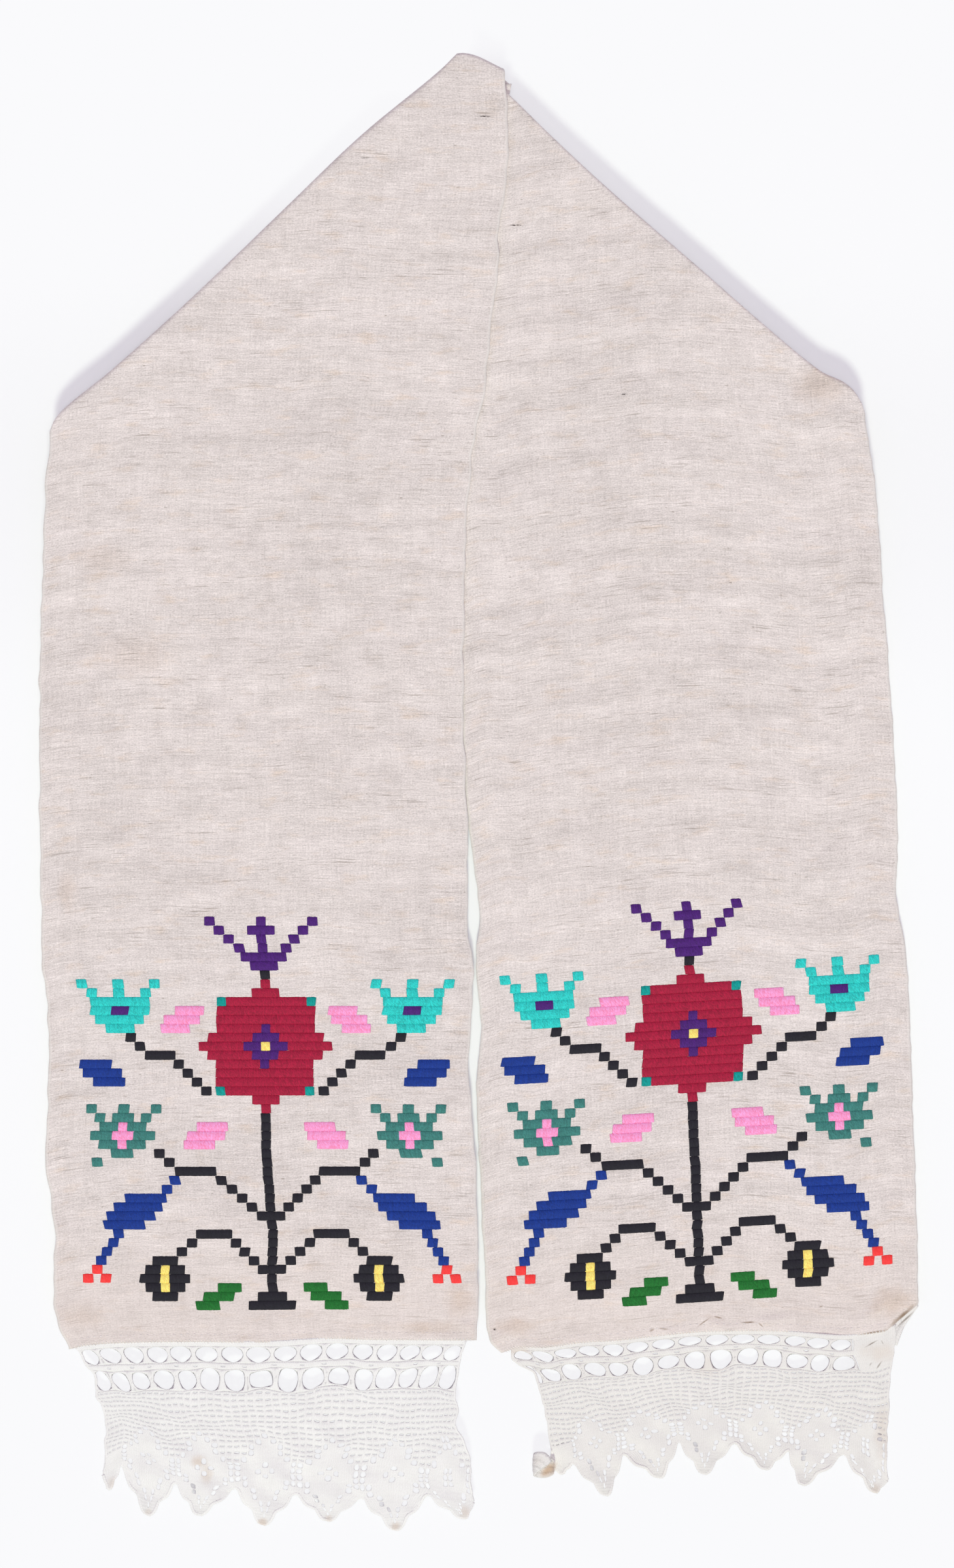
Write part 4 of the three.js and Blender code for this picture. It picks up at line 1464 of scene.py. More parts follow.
@dataclass
class Lace:
    """A crocheted lace end: an edge, two open rows, a mesh ground and scallops with diamonds.

    Args:
        name: the lace's name.
        node: the part's node it stands for.
        arm: the arm it hangs from.
        left: where its left side runs.
        right: where its right side runs.
        scallops: its points, from left to right.
        ends: how low its two sides reach.
        hang: how far below the hem each drop of the worked lace hangs.
        openings: how many openings its two open rows have.
        swing: the height, length and lag of its waves.
        lean: how far the openings lean at the two sides.
        filled: the share of its width from which the open rows are bunched shut.
        corner: where its upper edge runs beyond the hem, beside a corner that is turned under.
        rows: how low its rows are.
    """

    name: str
    node: str
    arm: Arm
    left: Table
    right: Table
    scallops: tuple[Scallop, ...]
    ends: tuple[float, float]
    hang: Table
    openings: tuple[int, int]
    swing: Triple
    lean: float
    filled: float = 1.0
    corner: tuple[tuple[float, float], ...] = ()
    rows: LaceRows = field(default_factory=LaceRows)

    def __post_init__(self) -> None:
        """Finds the hem that the lace hangs from."""
        shares = np.linspace(0.02, 1, 120)
        edge = self.arm.surface(shares, self.arm.hem.at(shares)) / MM
        order = np.argsort(edge[:, 0])
        self.hem_x, self.hem_down = edge[order, 0], -edge[order, 2]
        if self.corner:
            before = self.hem_x < self.corner[0][0] - 4
            beyond = np.array(self.corner)
            self.hem_x = np.concatenate([self.hem_x[before], beyond[:, 0]])
            self.hem_down = np.concatenate([self.hem_down[before], beyond[:, 1]])
        self.draw = np.random.default_rng(SEED + len(self.name))

    def hem(self, x: Array | float) -> Array:
        """How far down the hem is at a place across."""
        return np.interp(x, self.hem_x, self.hem_down)

    def notches(self) -> tuple[Array, Array, Array]:
        """The count of cells, the place across and the height at the notches and the two sides."""
        count = np.cumsum([0, *[s.cells for s in self.scallops]])
        start = float(self.left.at(self.ends[0]))
        across = np.array([start, *[s.notch for s in self.scallops]])
        down = np.array([self.ends[0], *[s.high for s in self.scallops]])
        return count / count[-1], across, down

    def spot(self, t: Array | float, drop: Array | float) -> Shape:
        """Where a place of the worked lace hangs.

        Args:
            t: its share of the lace's width, from 0 at the left.
            drop: how far below the hem it was worked, in mm.

        Returns:
            Its place across and its distance below the hang point, in mm.
        """
        t, drop = np.broadcast_arrays(np.asarray(t, float), np.asarray(drop, float))
        low = self.hem(0.5 * (self.hem_x[0] + self.hem_x[-1])) + self.hang.at(drop)
        left, right = self.left.at(low), self.right.at(low)
        even = t - np.sin(2 * math.pi * t) / (2 * math.pi) * (0.1 + 0.32 * smooth(drop, 20, 60))
        shares, across, down = self.notches()
        gathered = (np.interp(t, shares, across) - across[0]) / (across[-1] - across[0])
        turned = smooth(drop, 35, self.rows.ground)
        x = left + (even + (gathered - even) * turned) * (right - left)
        tail = (drop - self.rows.second_open) / (self.rows.ground - self.rows.second_open)
        top = self.hem(x) + self.hang.at(np.minimum(drop, self.rows.second_open))
        bottom = np.interp(t, shares, down)
        down = np.where(tail > 0, top + (bottom - top) * tail, top)
        lift = 3.0 * np.abs(2 * t - 1) ** 5 * np.sin(math.pi * np.clip(tail, 0, 1))
        slack = smooth(drop, 3, 40)
        sway = Ripple(0.8, 12, 46, seed=81, count=16).at(x, down) * slack
        sag = Ripple(1.25, 14, 70, stretch=1.5, seed=91, count=16).at(x, down) * slack
        return x + sway, down - lift + sag

    def depth(self, x: Array, down: Array) -> Array:
        """How far forward or back the lace hangs there, in mm."""
        across = np.clip((x - self.hem_x[0]) / (self.hem_x[-1] - self.hem_x[0]), 0, 1)
        share = across if self.arm is LEFT_ARM else 1 - across
        high, length, lag = self.swing
        drop = down - self.hem(x)
        swing = high * np.sin(2 * math.pi * x / length + lag) * smooth(drop, 4, 150)
        pucker = Ripple(0.8, 22, 60, seed=71, count=10).at(x, down) * smooth(drop, 30, 120)
        return self.arm.depth(share, down) + swing + pucker

    def body_cells(self) -> list[Cell]:
        """The cells of the edge, the band and the ground, down to the line of the notches."""
        total = sum(s.cells for s in self.scallops)
        rows, cells = self.rows, []
        shut = [round(self.open_count(row) / self.openings[row] * total) for row in (0, 1)]
        middle = (rows.first_open + rows.base) / 2, (rows.second_open + rows.band) / 2
        plain, corners = [Stitch.SOLID] * total, [Stitch.SOLID] * total
        for index in range(1, self.open_count(0)):
            corners[int(index / self.openings[0] * total)] = Stitch.MESH
        lines = [(-1.5, rows.base, 0, plain), (rows.base, middle[0], shut[0], plain),
                 (middle[0], rows.first_open, shut[0], plain), (rows.first_open, rows.band, 0, corners),
                 (rows.band, middle[1], shut[1], plain), (middle[1], rows.second_open, shut[1], plain)]
        grounds = np.linspace(rows.second_open, rows.ground, rows.ground_rows + 1)
        lines += [(a, b, 0, kinds) for a, b, kinds in zip(grounds, grounds[1:], self.ground_kinds())]
        columns = np.arange(total + 1) / total
        for index, (top, bottom, first, kinds) in enumerate(lines):
            upper, lower = self.spot(columns, top), self.spot(columns, bottom)
            for column in range(first, total):
                stitch = kinds[column]
                cells.append(Cell(stitch, (column, index), self.corners(upper, lower, column)))
        return cells

    @staticmethod
    def corners(upper: tuple, lower: tuple, column: int) -> tuple:
        """The four corners of a cell between the line of points above it and the one below."""
        return tuple((float(line[0][c]), float(line[1][c]))
                     for line in (upper, lower) for c in (column, column + 1))

    def stitch_at(self, scallop: Scallop, cell: int, row: float, plain: Stitch) -> Stitch:
        """The stitch over or in a scallop, by its column there and its row; plain if it is narrow."""
        offset = (cell + 0.5 - scallop.cells / 2) * DIAMOND / scallop.cells
        return self.kind(offset, row + 0.5 - self.rows.centre_row) if scallop.cells > 5 else plain

    def open_count(self, row: int) -> int:
        """How many openings of an open row hang open."""
        return math.floor(self.filled * self.openings[row] + 0.01)

    def kind(self, offset: float, row: float) -> Stitch:
        """The stitch at a cell of a scallop's diamond, by its place from the diamond's middle."""
        reach = self.rows.half_height if row < 0 else self.rows.half_below
        half = DIAMOND / 2 * (1 - abs(row) / reach)
        if abs(abs(offset) - half) < 0.52 and abs(row) <= reach:
            return Stitch.EYELET
        if abs(offset) > half:
            return Stitch.SOLID if row > 0 else Stitch.MESH
        flower = abs(offset) < 0.6 and 0.5 < abs(row) < 1.5
        petal = abs(abs(offset) - 1) < 0.6 and abs(row) < 0.5
        return Stitch.EYELET if flower or petal else Stitch.SOLID

    def ground_kinds(self) -> list[list[Stitch]]:
        """The stitch of each cell of the ground, row by row."""
        return [[self.stitch_at(scallop, cell, row, Stitch.SOLID if row > 13 else Stitch.MESH)
                 for scallop in self.scallops for cell in range(scallop.cells)]
                for row in range(self.rows.ground_rows)]

    def scallop_spot(self, index: int, u: Array | float, t: Array | float) -> tuple:
        """Where a place of a scallop hangs.

        Args:
            index: which scallop it is, from the left.
            u: its share of the scallop's width.
            t: its share of the way from the line of the notches to the tip.

        Returns:
            Its place across and its distance below the hang point, in mm.
        """
        u, t = np.broadcast_arrays(np.asarray(u, float), np.asarray(t, float))
        shares, across, down = self.notches()
        scallop = self.scallops[index]
        start = np.stack([across[index] + (across[index + 1] - across[index]) * u,
                          down[index] + (down[index + 1] - down[index]) * u])
        tip = np.array([scallop.tip, scallop.low]).reshape(2, *[1] * u.ndim)
        inward, first = np.stack([FLANK.at(t), t]), np.stack([FLANK.at(t * 0), t * 0])
        seam = np.stack(self.spot(shares[index] + (shares[index + 1] - shares[index]) * u, self.rows.ground))
        slack = (seam - start - (tip - start) * first) * (1 - t) ** 2
        return tuple(start + (tip - start) * inward + slack)

    def scallop_cells(self) -> list[Cell]:
        """The cells below the line of the notches, row by row to each tip."""
        cells, before = [], 0
        for index, scallop in enumerate(self.scallops):
            columns = np.arange(scallop.cells + 1) / scallop.cells
            steps = np.arange(self.rows.tip_rows + 1) / self.rows.tip_rows
            for step, (top, bottom) in enumerate(zip(steps, steps[1:])):
                upper = self.scallop_spot(index, columns, top)
                lower = self.scallop_spot(index, columns, bottom)
                for column in range(scallop.cells):
                    row = self.rows.ground_rows + step
                    stitch = self.stitch_at(scallop, column, row, Stitch.SOLID)
                    place = (before + column, self.rows.ground_rows + step + 6)
                    cells.append(Cell(stitch, place, self.corners(upper, lower, column)))
            before += scallop.cells
        return cells

    def open_row(self, row: int) -> list[tuple[Array, Array, Array]]:
        """The lace round each opening of an open row: its points (mm), its quads and its flat place."""
        rows, shape, count = self.rows, OPEN_ROWS[row], self.openings[row]
        top, bottom = ((rows.base, rows.first_open), (rows.band, rows.second_open))[row]
        draw, last = np.random.default_rng(SEED + 40 + row + len(self.name)), self.open_count(row)
        side = np.arange(count + 1) / count
        lean = self.lean * (1 - 2 * side) * np.abs(1 - 2 * side) ** 0.6 + draw.normal(0, 0.8, count + 1)
        fine = np.linspace(0, 1, 400)
        above = self.spot(side, top)[0]
        ends = np.stack([np.interp(above + lean * way, self.spot(fine, drop)[0], fine)
                         for way, drop in ((-0.5, top), (0.5, bottom))])
        ends[:, [0, last]] = side[[0, last]]
        total = sum(s.cells for s in self.scallops)
        found = []
        for index in range(last):
            size = draw.uniform(1 - shape.uneven, 1 + shape.uneven, 2)
            flat, high = opening(shape, size, draw.normal(0, 0.02, 2))
            u, v = flat[:, 0], flat[:, 1]
            pairs = ends[:, index:index + 2]
            share = within(pairs.ravel(), u, v)
            drop = top + (bottom - top) * v
            corner = np.concatenate([self.spot(pair, at)[0] for pair, at in zip(pairs, (top, bottom))])
            straight = within(corner, u, v)
            for _ in range(4):
                share = np.clip(share + (straight - self.spot(share, drop)[0]) / (corner[1] - corner[0])
                                / self.openings[row], 0, 1)
            x, down = self.spot(share, drop)
            points = np.stack([x, self.depth(x, down) - high, -down], -1)
            found.append((points, OPENING_FACES, np.stack([share * total, 1 + 3 * row + 2 * v], -1)))
        return found

    def ribbons(self) -> list[Ribbon]:
        """The two sides and the scalloped border."""
        drops = np.linspace(0, self.rows.ground, 44)
        found = [Ribbon(np.stack(self.spot(share, drops), -1), 1.3, 0.42, 0.0, True)
                 for share in (0.004, 0.996)]
        border, down = [], np.linspace(0, 1, 20)
        for index in range(len(self.scallops)):
            border.append(np.stack(self.scallop_spot(index, 0.0, down), -1)[:-1])
            border.append(np.stack(self.scallop_spot(index, 1.0, down[::-1]), -1)[:-1])
        found.append(Ribbon(np.concatenate(border), 1.5, 0.42, 0.05, False))
        return found

    def extras(self) -> Array:
        """The corners of any cells outside the rows, and which way each corner faces: here none."""
        return np.zeros((0, 8, 3))

    @staticmethod
    def patch(grid: Array) -> Array:
        """The four corners of each cell of a grid of points, and then which way each of them faces."""
        cells = [part[rows, columns].reshape(-1, 3) for part in (grid, facing(grid))
                 for rows in (slice(0, -1), slice(1, None)) for columns in (slice(0, -1), slice(1, None))]
        return np.stack(cells, 1)

    def build(self, repeater: StitchRepeater, finish: Material) -> Object:
        """The lace as one piece of thread."""
        cells = self.body_cells() + self.scallop_cells()
        flat = np.array([cell.corners for cell in cells])
        corners = np.stack([flat[..., 0], self.depth(flat[..., 0], flat[..., 1]), -flat[..., 1]], -1)
        kinds = [cell.stitch for cell in cells]
        worked = [cell.worked for cell in cells]
        extra = self.extras()
        ahead = np.broadcast_to((0.0, -1.0, 0.0), corners.shape)
        corners = np.concatenate([np.concatenate([corners, ahead], 1), extra])
        kinds += [Stitch.SOLID] * len(extra)
        worked = np.array(worked + [(i % 9, 30 + i // 9) for i in range(len(extra))], float)
        gathered = Gathered()
        for kind in Stitch:
            chosen = np.array([i for i, k in enumerate(kinds) if k is kind])
            if not len(chosen):
                continue
            where = np.stack([chosen % CHART_WIDE, -(chosen // CHART_WIDE), chosen * 0], -1).astype(float)
            cell, rings = crochet(*kind.value), 4 if kind.value[0] else 5
            laid = repeater.lay(cell, where, np.ones((len(chosen), 3)), finish, cells=chosen)
            inside = laid.points[:, :2] * (1, -1)
            inside = inside - np.stack([laid.cell % CHART_WIDE, laid.cell // CHART_WIDE], -1)
            turned = np.arange(len(laid.faces)) % len(cell[1]) >= len(cell[1]) - CELL_SIDES
            gathered.add(self.drape(inside, laid, corners), laid.faces, laid.tone,
                         worked[laid.cell] + inside, mated(len(inside), CELL_SIDES, rings),
                         turned & (kind is Stitch.EYELET))
        for points, faces, uv in self.open_row(0) + self.open_row(1):
            gathered.add(points * MM, faces, self.draw.uniform(0.3, 0.7), uv,
                         mated(len(points), OPENING_SIDES, 4), np.arange(len(faces)) >= 2 * OPENING_SIDES)
        for points, faces, uv in map(self.band, self.ribbons()):
            gathered.add(points, faces, 0.5, uv, np.full(len(points), -1), np.zeros(len(faces), bool))
        points, faces, tones, flats, mates, sharp = gathered.whole()
        points, faces, kept, walls = closed(points, faces, mates)
        piece = make_piece(self.name, points, faces, uv=flats[kept], tone=tones[kept],
                           flat=np.concatenate([sharp, np.ones(walls, bool)]))
        piece.data.materials.append(finish)
        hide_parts(self.node)
        return piece

    def drape(self, inside: Array, laid: Laid, corners: Array) -> Array:
        """Stitches laid flat moved to where their cells hang, in metres.

        Args:
            inside: each point's place in its cell, from 0 to 1.
            laid: the stitches.
            corners: the four corners of every cell, and then which way each of them faces.
        """
        middle = inside - 0.5
        free = 1 - 2 * np.abs(middle).max(axis=1)
        grown = self.draw.uniform(-0.4, 0.2, len(corners))[laid.cell]
        tilt = self.draw.normal(0, 0.18, len(corners))[laid.cell]
        aside, sunk = self.draw.normal(0, (0.05, 0.07), (len(corners), 2))[laid.cell].T
        p = 0.5 + middle[:, 0] * (1 + grown * free) + aside * free
        q = 0.5 + middle[:, 1] * (1 + grown * free) + (tilt * middle[:, 0] + sunk) * free
        p, q = p[:, None], q[:, None]
        cell = corners[laid.cell].swapaxes(0, 1)
        return (within(cell[:4], p, q) + within(cell[4:], p, q) * laid.points[:, 2:3]) * MM

    def band(self, ribbon: Ribbon) -> tuple[Array, Array, Array]:
        """A flat cord along a path: its points in metres, its quads, and its place in stitches."""
        x, down = ribbon.path.T
        gone = np.concatenate([[0], np.cumsum(np.hypot(np.diff(x), np.diff(down)))])
        even = np.linspace(0, gone[-1], max(7, int(gone[-1] / CORD_STEP)))
        x, down = np.interp(even, gone, x), np.interp(even, gone, down)
        y = self.depth(x, down) - ribbon.proud
        heading = unit(np.stack([np.gradient(x), -np.gradient(down)], -1))
        aside = np.stack([heading[:, 1], np.zeros(len(x)), -heading[:, 0]], -1)
        turn = np.arange(CORD_SIDES) * math.pi / 4 + math.pi / 8
        swell = 1 + 0.07 * np.sin(even * 1.9 + gone[-1])
        wide = (ribbon.wide * swell)[:, None, None] * aside[:, None] * np.cos(turn)[:, None]
        high = ribbon.high * np.sin(turn)[:, None] * np.array([0, -1.0, 0])
        points = np.stack([x, y, -down], -1)[:, None] + wide + high
        ids = np.arange(len(x) * CORD_SIDES).reshape(-1, CORD_SIDES)
        a, b = ids[:-1], ids[1:]
        faces = np.stack([a, b, np.roll(b, -1, 1), np.roll(a, -1, 1)], -1).reshape(-1, 4)
        ends = np.array([[0, 1, 2, 3], [0, 3, 4, 7], [4, 5, 6, 7]])
        caps = np.concatenate([ids[0][ends], ids[-1][ends[:, ::-1]]])
        along = np.repeat(even / CORD_STITCH, CORD_SIDES)
        beside = np.tile(np.cos(turn) * ribbon.wide / CORD_STITCH, len(x))
        uv = np.stack([beside, along], -1) if ribbon.lengthwise else np.stack([along, beside], -1)
        return points.reshape(-1, 3) * MM, np.concatenate([faces, caps]), uv


def crochet(wide: float, tall: float) -> Shape:
    """A cell of close crochet, one unit wide and tall and with heights in mm, round a hole.

    Args:
        wide: half the hole's width.
        tall: half its height.
    """
    rim, hole = rings_of(CELL_SIDES, 2.5)
    hole = hole * (wide, tall)
    near = hole + (rim - hole) * (0.17 if wide else 0.5)
    rings = [(rim, 0.3), (near, 0.4), (hole, 0.05 if wide else 0.42), (rim, -0.3)]
    if not wide:
        rings.insert(3, (hole, -0.34))
    points = [np.column_stack([flat + (0.5, -0.5), np.full(CELL_SIDES, height)]) for flat, height in rings]
    return np.concatenate(points), ring_faces(CELL_SIDES, len(rings), () if wide else (2,))


def ring_faces(sides: int, rings: int, apart: tuple[int, ...] = ()) -> Array:
    """The quads between rings of points.

    Args:
        sides: how many points a ring has.
        rings: how many rings there are.
        apart: the rings that aren't joined to the next one.
    """
    ids = np.arange(sides * rings).reshape(rings, sides)
    faces = [np.stack([a, b, np.roll(b, -1), np.roll(a, -1)], -1)[:, ::-1]
             for index, (a, b) in enumerate(zip(ids, ids[1:])) if index not in apart]
    return np.concatenate(faces)


OPENING_SIDES = 40
OPENING_FACES = ring_faces(OPENING_SIDES, 4)


def opening(shape: OpenRow, size: Array, shift: Array) -> Shape:
    """The lace round one opening: its points' places from its upper left corner, and their heights.

    Args:
        shape: the opening.
        size: how much wider and taller than usual it is.
        shift: how far off the middle it is.
    """
    rim, hole = rings_of(OPENING_SIDES, shape.power)
    hole = hole * (shape.wide, shape.tall) * np.minimum(size, 1.06)
    hole[:, 0] *= 1 - shape.pointed * np.maximum(-hole[:, 1] / shape.tall, 0) ** 1.6
    hole += shift * (1, 0.4)
    corner = 4 * np.abs(rim[:, 0] * rim[:, 1])
    beside = smooth(2 * np.abs(rim[:, 0]), 0.8, 1)
    low = 0.3 - 0.16 * beside * (1 - smooth(corner, 0.6, 1))
    near = hole + (rim - hole) * 0.42
    flat = np.concatenate([rim, near, hole, rim]) * (1, -1) + 0.5
    high = np.concatenate([low, np.full(OPENING_SIDES, 0.46), np.full(OPENING_SIDES, 0.24),
                           np.full(OPENING_SIDES, -0.3)])
    return flat, high


def mated(count: int, sides: int, rings: int) -> Array:
    """For each point of the front rims the number of the back rim's point behind it, or else -1.

    Args:
        count: how many points there are.
        sides: how many points a ring has.
        rings: how many rings a cell has, from its front rim to its back one.
    """
    place = np.arange(count)
    front = place % (sides * rings) < sides
    return np.where(front, place + sides * (rings - 1), -1)


def closed(points: Array, faces: Array, mates: Array) -> tuple:
    """Cells of crochet joined where they meet, with a wall wherever the outside of one shows.

    Args:
        points: their points.
        faces: their quads.
        mates: what mated gives for each point.

    Returns:
        The points, the quads, which of the given points the points are, and how many of the last
        quads are walls.
    """
    _, kept, group = np.unique(np.round(points / WELD).astype(np.int64), axis=0, return_index=True,
                               return_inverse=True)
    group = group.reshape(-1)
    front = np.flatnonzero(mates >= 0)
    across = np.full(len(kept), -1)
    across[group[front]] = group[mates[front]]
    faces = group[faces]
    pinched = faces[:, 1] == faces[:, 2]
    faces[pinched] = np.roll(faces[pinched], -2, axis=1)
    starts, ends = faces.ravel(), np.roll(faces, -1, axis=1).ravel()
    codes, backward = starts * len(kept) + ends, ends * len(kept) + starts
    open_edge = ~np.isin(codes, backward) & (across[starts] >= 0) & (across[ends] >= 0)
    a, b = starts[open_edge], ends[open_edge]
    walls = np.stack([b, a, across[a], across[b]], -1)
    return points[kept], np.concatenate([faces, walls]), kept, len(walls)


@dataclass
class CurledLace(Lace):
    """The lace whose lower left corner has rolled up, and which shows beside the turned corner."""

    def extras(self) -> Array:
        """The corners of the cells of the rolled corner and of the strip beside the fold, in mm."""
        top = Table("w", "z", ((0, -1317), (0.3, -1313), (0.5, -1312), (0.62, -1309.4), (0.78, -1308),
                               (0.9, -1310), (1, -1317)))
        foot = Table("w", "z", ((0, -1330), (0.35, -1334.5), (0.6, -1334), (1, -1330.5)))
        w, r = np.meshgrid(np.linspace(0, 1, 16), np.linspace(0, 1, 5))
        angle = -np.radians(10 + w * (312 - 118 * r))
        belly = 1 + 0.1 * np.sin(math.pi * r)
        roll = np.stack([55.4 + 9.6 * belly * np.cos(angle), -5.6 - 5.6 * belly * np.sin(angle),
                         top.at(w) * (1 - r) + foot.at(w) * r], -1)
        upper = Table("w", "x", ((0, 408), (0.4, 395.5), (0.8, 383.5), (1, 383.5)))
        upper_z = Table("w", "z", ((0, -1171.5), (0.4, -1181), (0.8, -1191.6), (1, -1208)))
        lower = Table("w", "x", ((0, 408.4), (0.4, 396.2), (0.8, 391.8), (1, 388)))
        lower_z = Table("w", "z", ((0, -1173), (0.4, -1190.5), (0.8, -1200), (1, -1210)))
        w, r = np.meshgrid(np.linspace(0, 1, 7), np.linspace(0, 1, 3))
        x = upper.at(w) * (1 - r) + lower.at(w) * r
        z = upper_z.at(w) * (1 - r) + lower_z.at(w) * r
        y = 1.3 + (self.depth(x, -z) - 1.3) * smooth(w, 0.4, 0.9)
        strip = np.stack([x, y, z], -1)
        return np.concatenate([self.patch(roll), self.patch(strip)])


def left_lace() -> Lace:
    """The lace of the left arm."""
    return Lace(
        name="lace_of_left_arm", node="lace_left", arm=LEFT_ARM,
        left=Table("down", "across", (
            (1204, -389), (1209, -383), (1225, -376), (1233, -369), (1241, -366.8), (1253, -366.3),
            (1266, -362), (1283, -358), (1303, -356.5), (1329, -358), (1350, -359))),
        right=Table("down", "across", (
            (1205, -16.6), (1227, -24), (1245, -26), (1270, -27), (1288, -25.5), (1305, -16.6),
            (1329, -13.5), (1350, -10.5))),
        scallops=(
            Scallop(-354, 1345, -342, 1323, 4), Scallop(-317, 1369, -290, 1338, 9),
            Scallop(-269, 1368, -235, 1341, 9), Scallop(-208.5, 1378, -178, 1348, 9),
            Scallop(-147.5, 1374, -119, 1351, 9), Scallop(-83.5, 1383, -56.5, 1350, 9),
            Scallop(-18, 1371, -12, 1356, 8)),
        ends=(1333, 1352),
        hang=Table("drop", "down", ((-1.5, -1.5), (0, 0.3), (4.2, 4), (20.5, 19.5), (27, 25.5), (46, 46),
                                    (145, 145))),
        openings=(16, 16), swing=(2.6, 118, 0.4), lean=11)


def right_lace() -> Lace:
    """The lace of the right arm, which hangs shorter."""
    return CurledLace(
        name="lace_of_right_arm", node="lace_right", arm=RIGHT_ARM,
        left=Table("down", "across", (
            (1207, 24.6), (1216, 35), (1220, 44), (1224, 48), (1241, 53), (1262, 57), (1288, 61.5),
            (1305, 63.5), (1322, 64.5))),
        right=Table("down", "across", (
            (1194, 387), (1210, 387), (1222, 384.5), (1241, 381.5), (1262, 380), (1288, 378),
            (1305, 379), (1322, 379.5), (1345, 377.5))),
        scallops=(
            Scallop(72, 1331, 83.5, 1320, 4), Scallop(115, 1350, 130, 1312.5, 9),
            Scallop(165.5, 1334, 182, 1299, 9), Scallop(206.5, 1330, 233, 1299, 9),
            Scallop(265.5, 1327, 283.5, 1306.5, 9), Scallop(298.5, 1341, 336, 1312.5, 9),
            Scallop(368.5, 1348, 376, 1336, 8)),
        ends=(1324, 1333),
        hang=Table("drop", "down", ((-1.5, -1.5), (0, 0.3), (4.2, 3), (20.5, 13), (27, 18), (46, 33.5),
                                    (145, 110))),
        openings=(16, 16), swing=(-2.4, 104, 1.3), lean=14, filled=0.88,
        corner=((383.5, 1192), (388, 1191)))


# The length over which the stitches of a hem are laid out flat (mm).
HEM_SPAN = 1000


@dataclass
class HemStitches:
    """The thread that turns up the hems and joins the laces to them."""

    def build(self, repeater: StitchRepeater, finish: Material) -> Object:
        """The stitches of both arms as one piece."""
        stitch = Embroidery.stitch(((-0.5, 0.8, 0.1), (-0.3, 1, 0.9), (0.3, 1, 0.9), (0.5, 0.8, 0.1)), 1)
        draw = np.random.default_rng(SEED + 3)
        parts, tones = [], []
        for arm, low in ((LEFT_ARM, 0.025), (RIGHT_ARM, 0.08)):
            shares = np.linspace(low, 0.985, 118)
            joining = np.stack([shares * HEM_SPAN, draw.normal(0.6, 0.3, len(shares)), shares * 0], -1)
            hemming = joining[::2] + (1.2, 6.6, 0)
            for places, size, turn in ((joining, (0.7, 2.8, 0.5), 0.35), (hemming, (0.4, 2.2, 0.3), 1.45)):
                sizes = np.tile(size, (len(places), 1))
                laid = repeater.lay(stitch, places, sizes, finish, turns=np.full(len(places), turn),
                                    slant=0.2, loft=0.2)
                anchor = places[laid.cell]
                local = laid.points - anchor
                across = anchor[:, 0] / HEM_SPAN + arm.way * local[:, 0] / LinenSize.width
                proud = local[:, 2] + LinenSize.half_thickness + LinenSize.hem_extra - SUNK
                parts.append((arm.drape(across, anchor[:, 1] + local[:, 1], proud), laid.faces))
                tones.append(laid.tone)
        piece = make_piece("hem_stitches", *joined(parts), tone=np.concatenate(tones))
        piece.data.materials.append(finish)
        return piece


# The stage


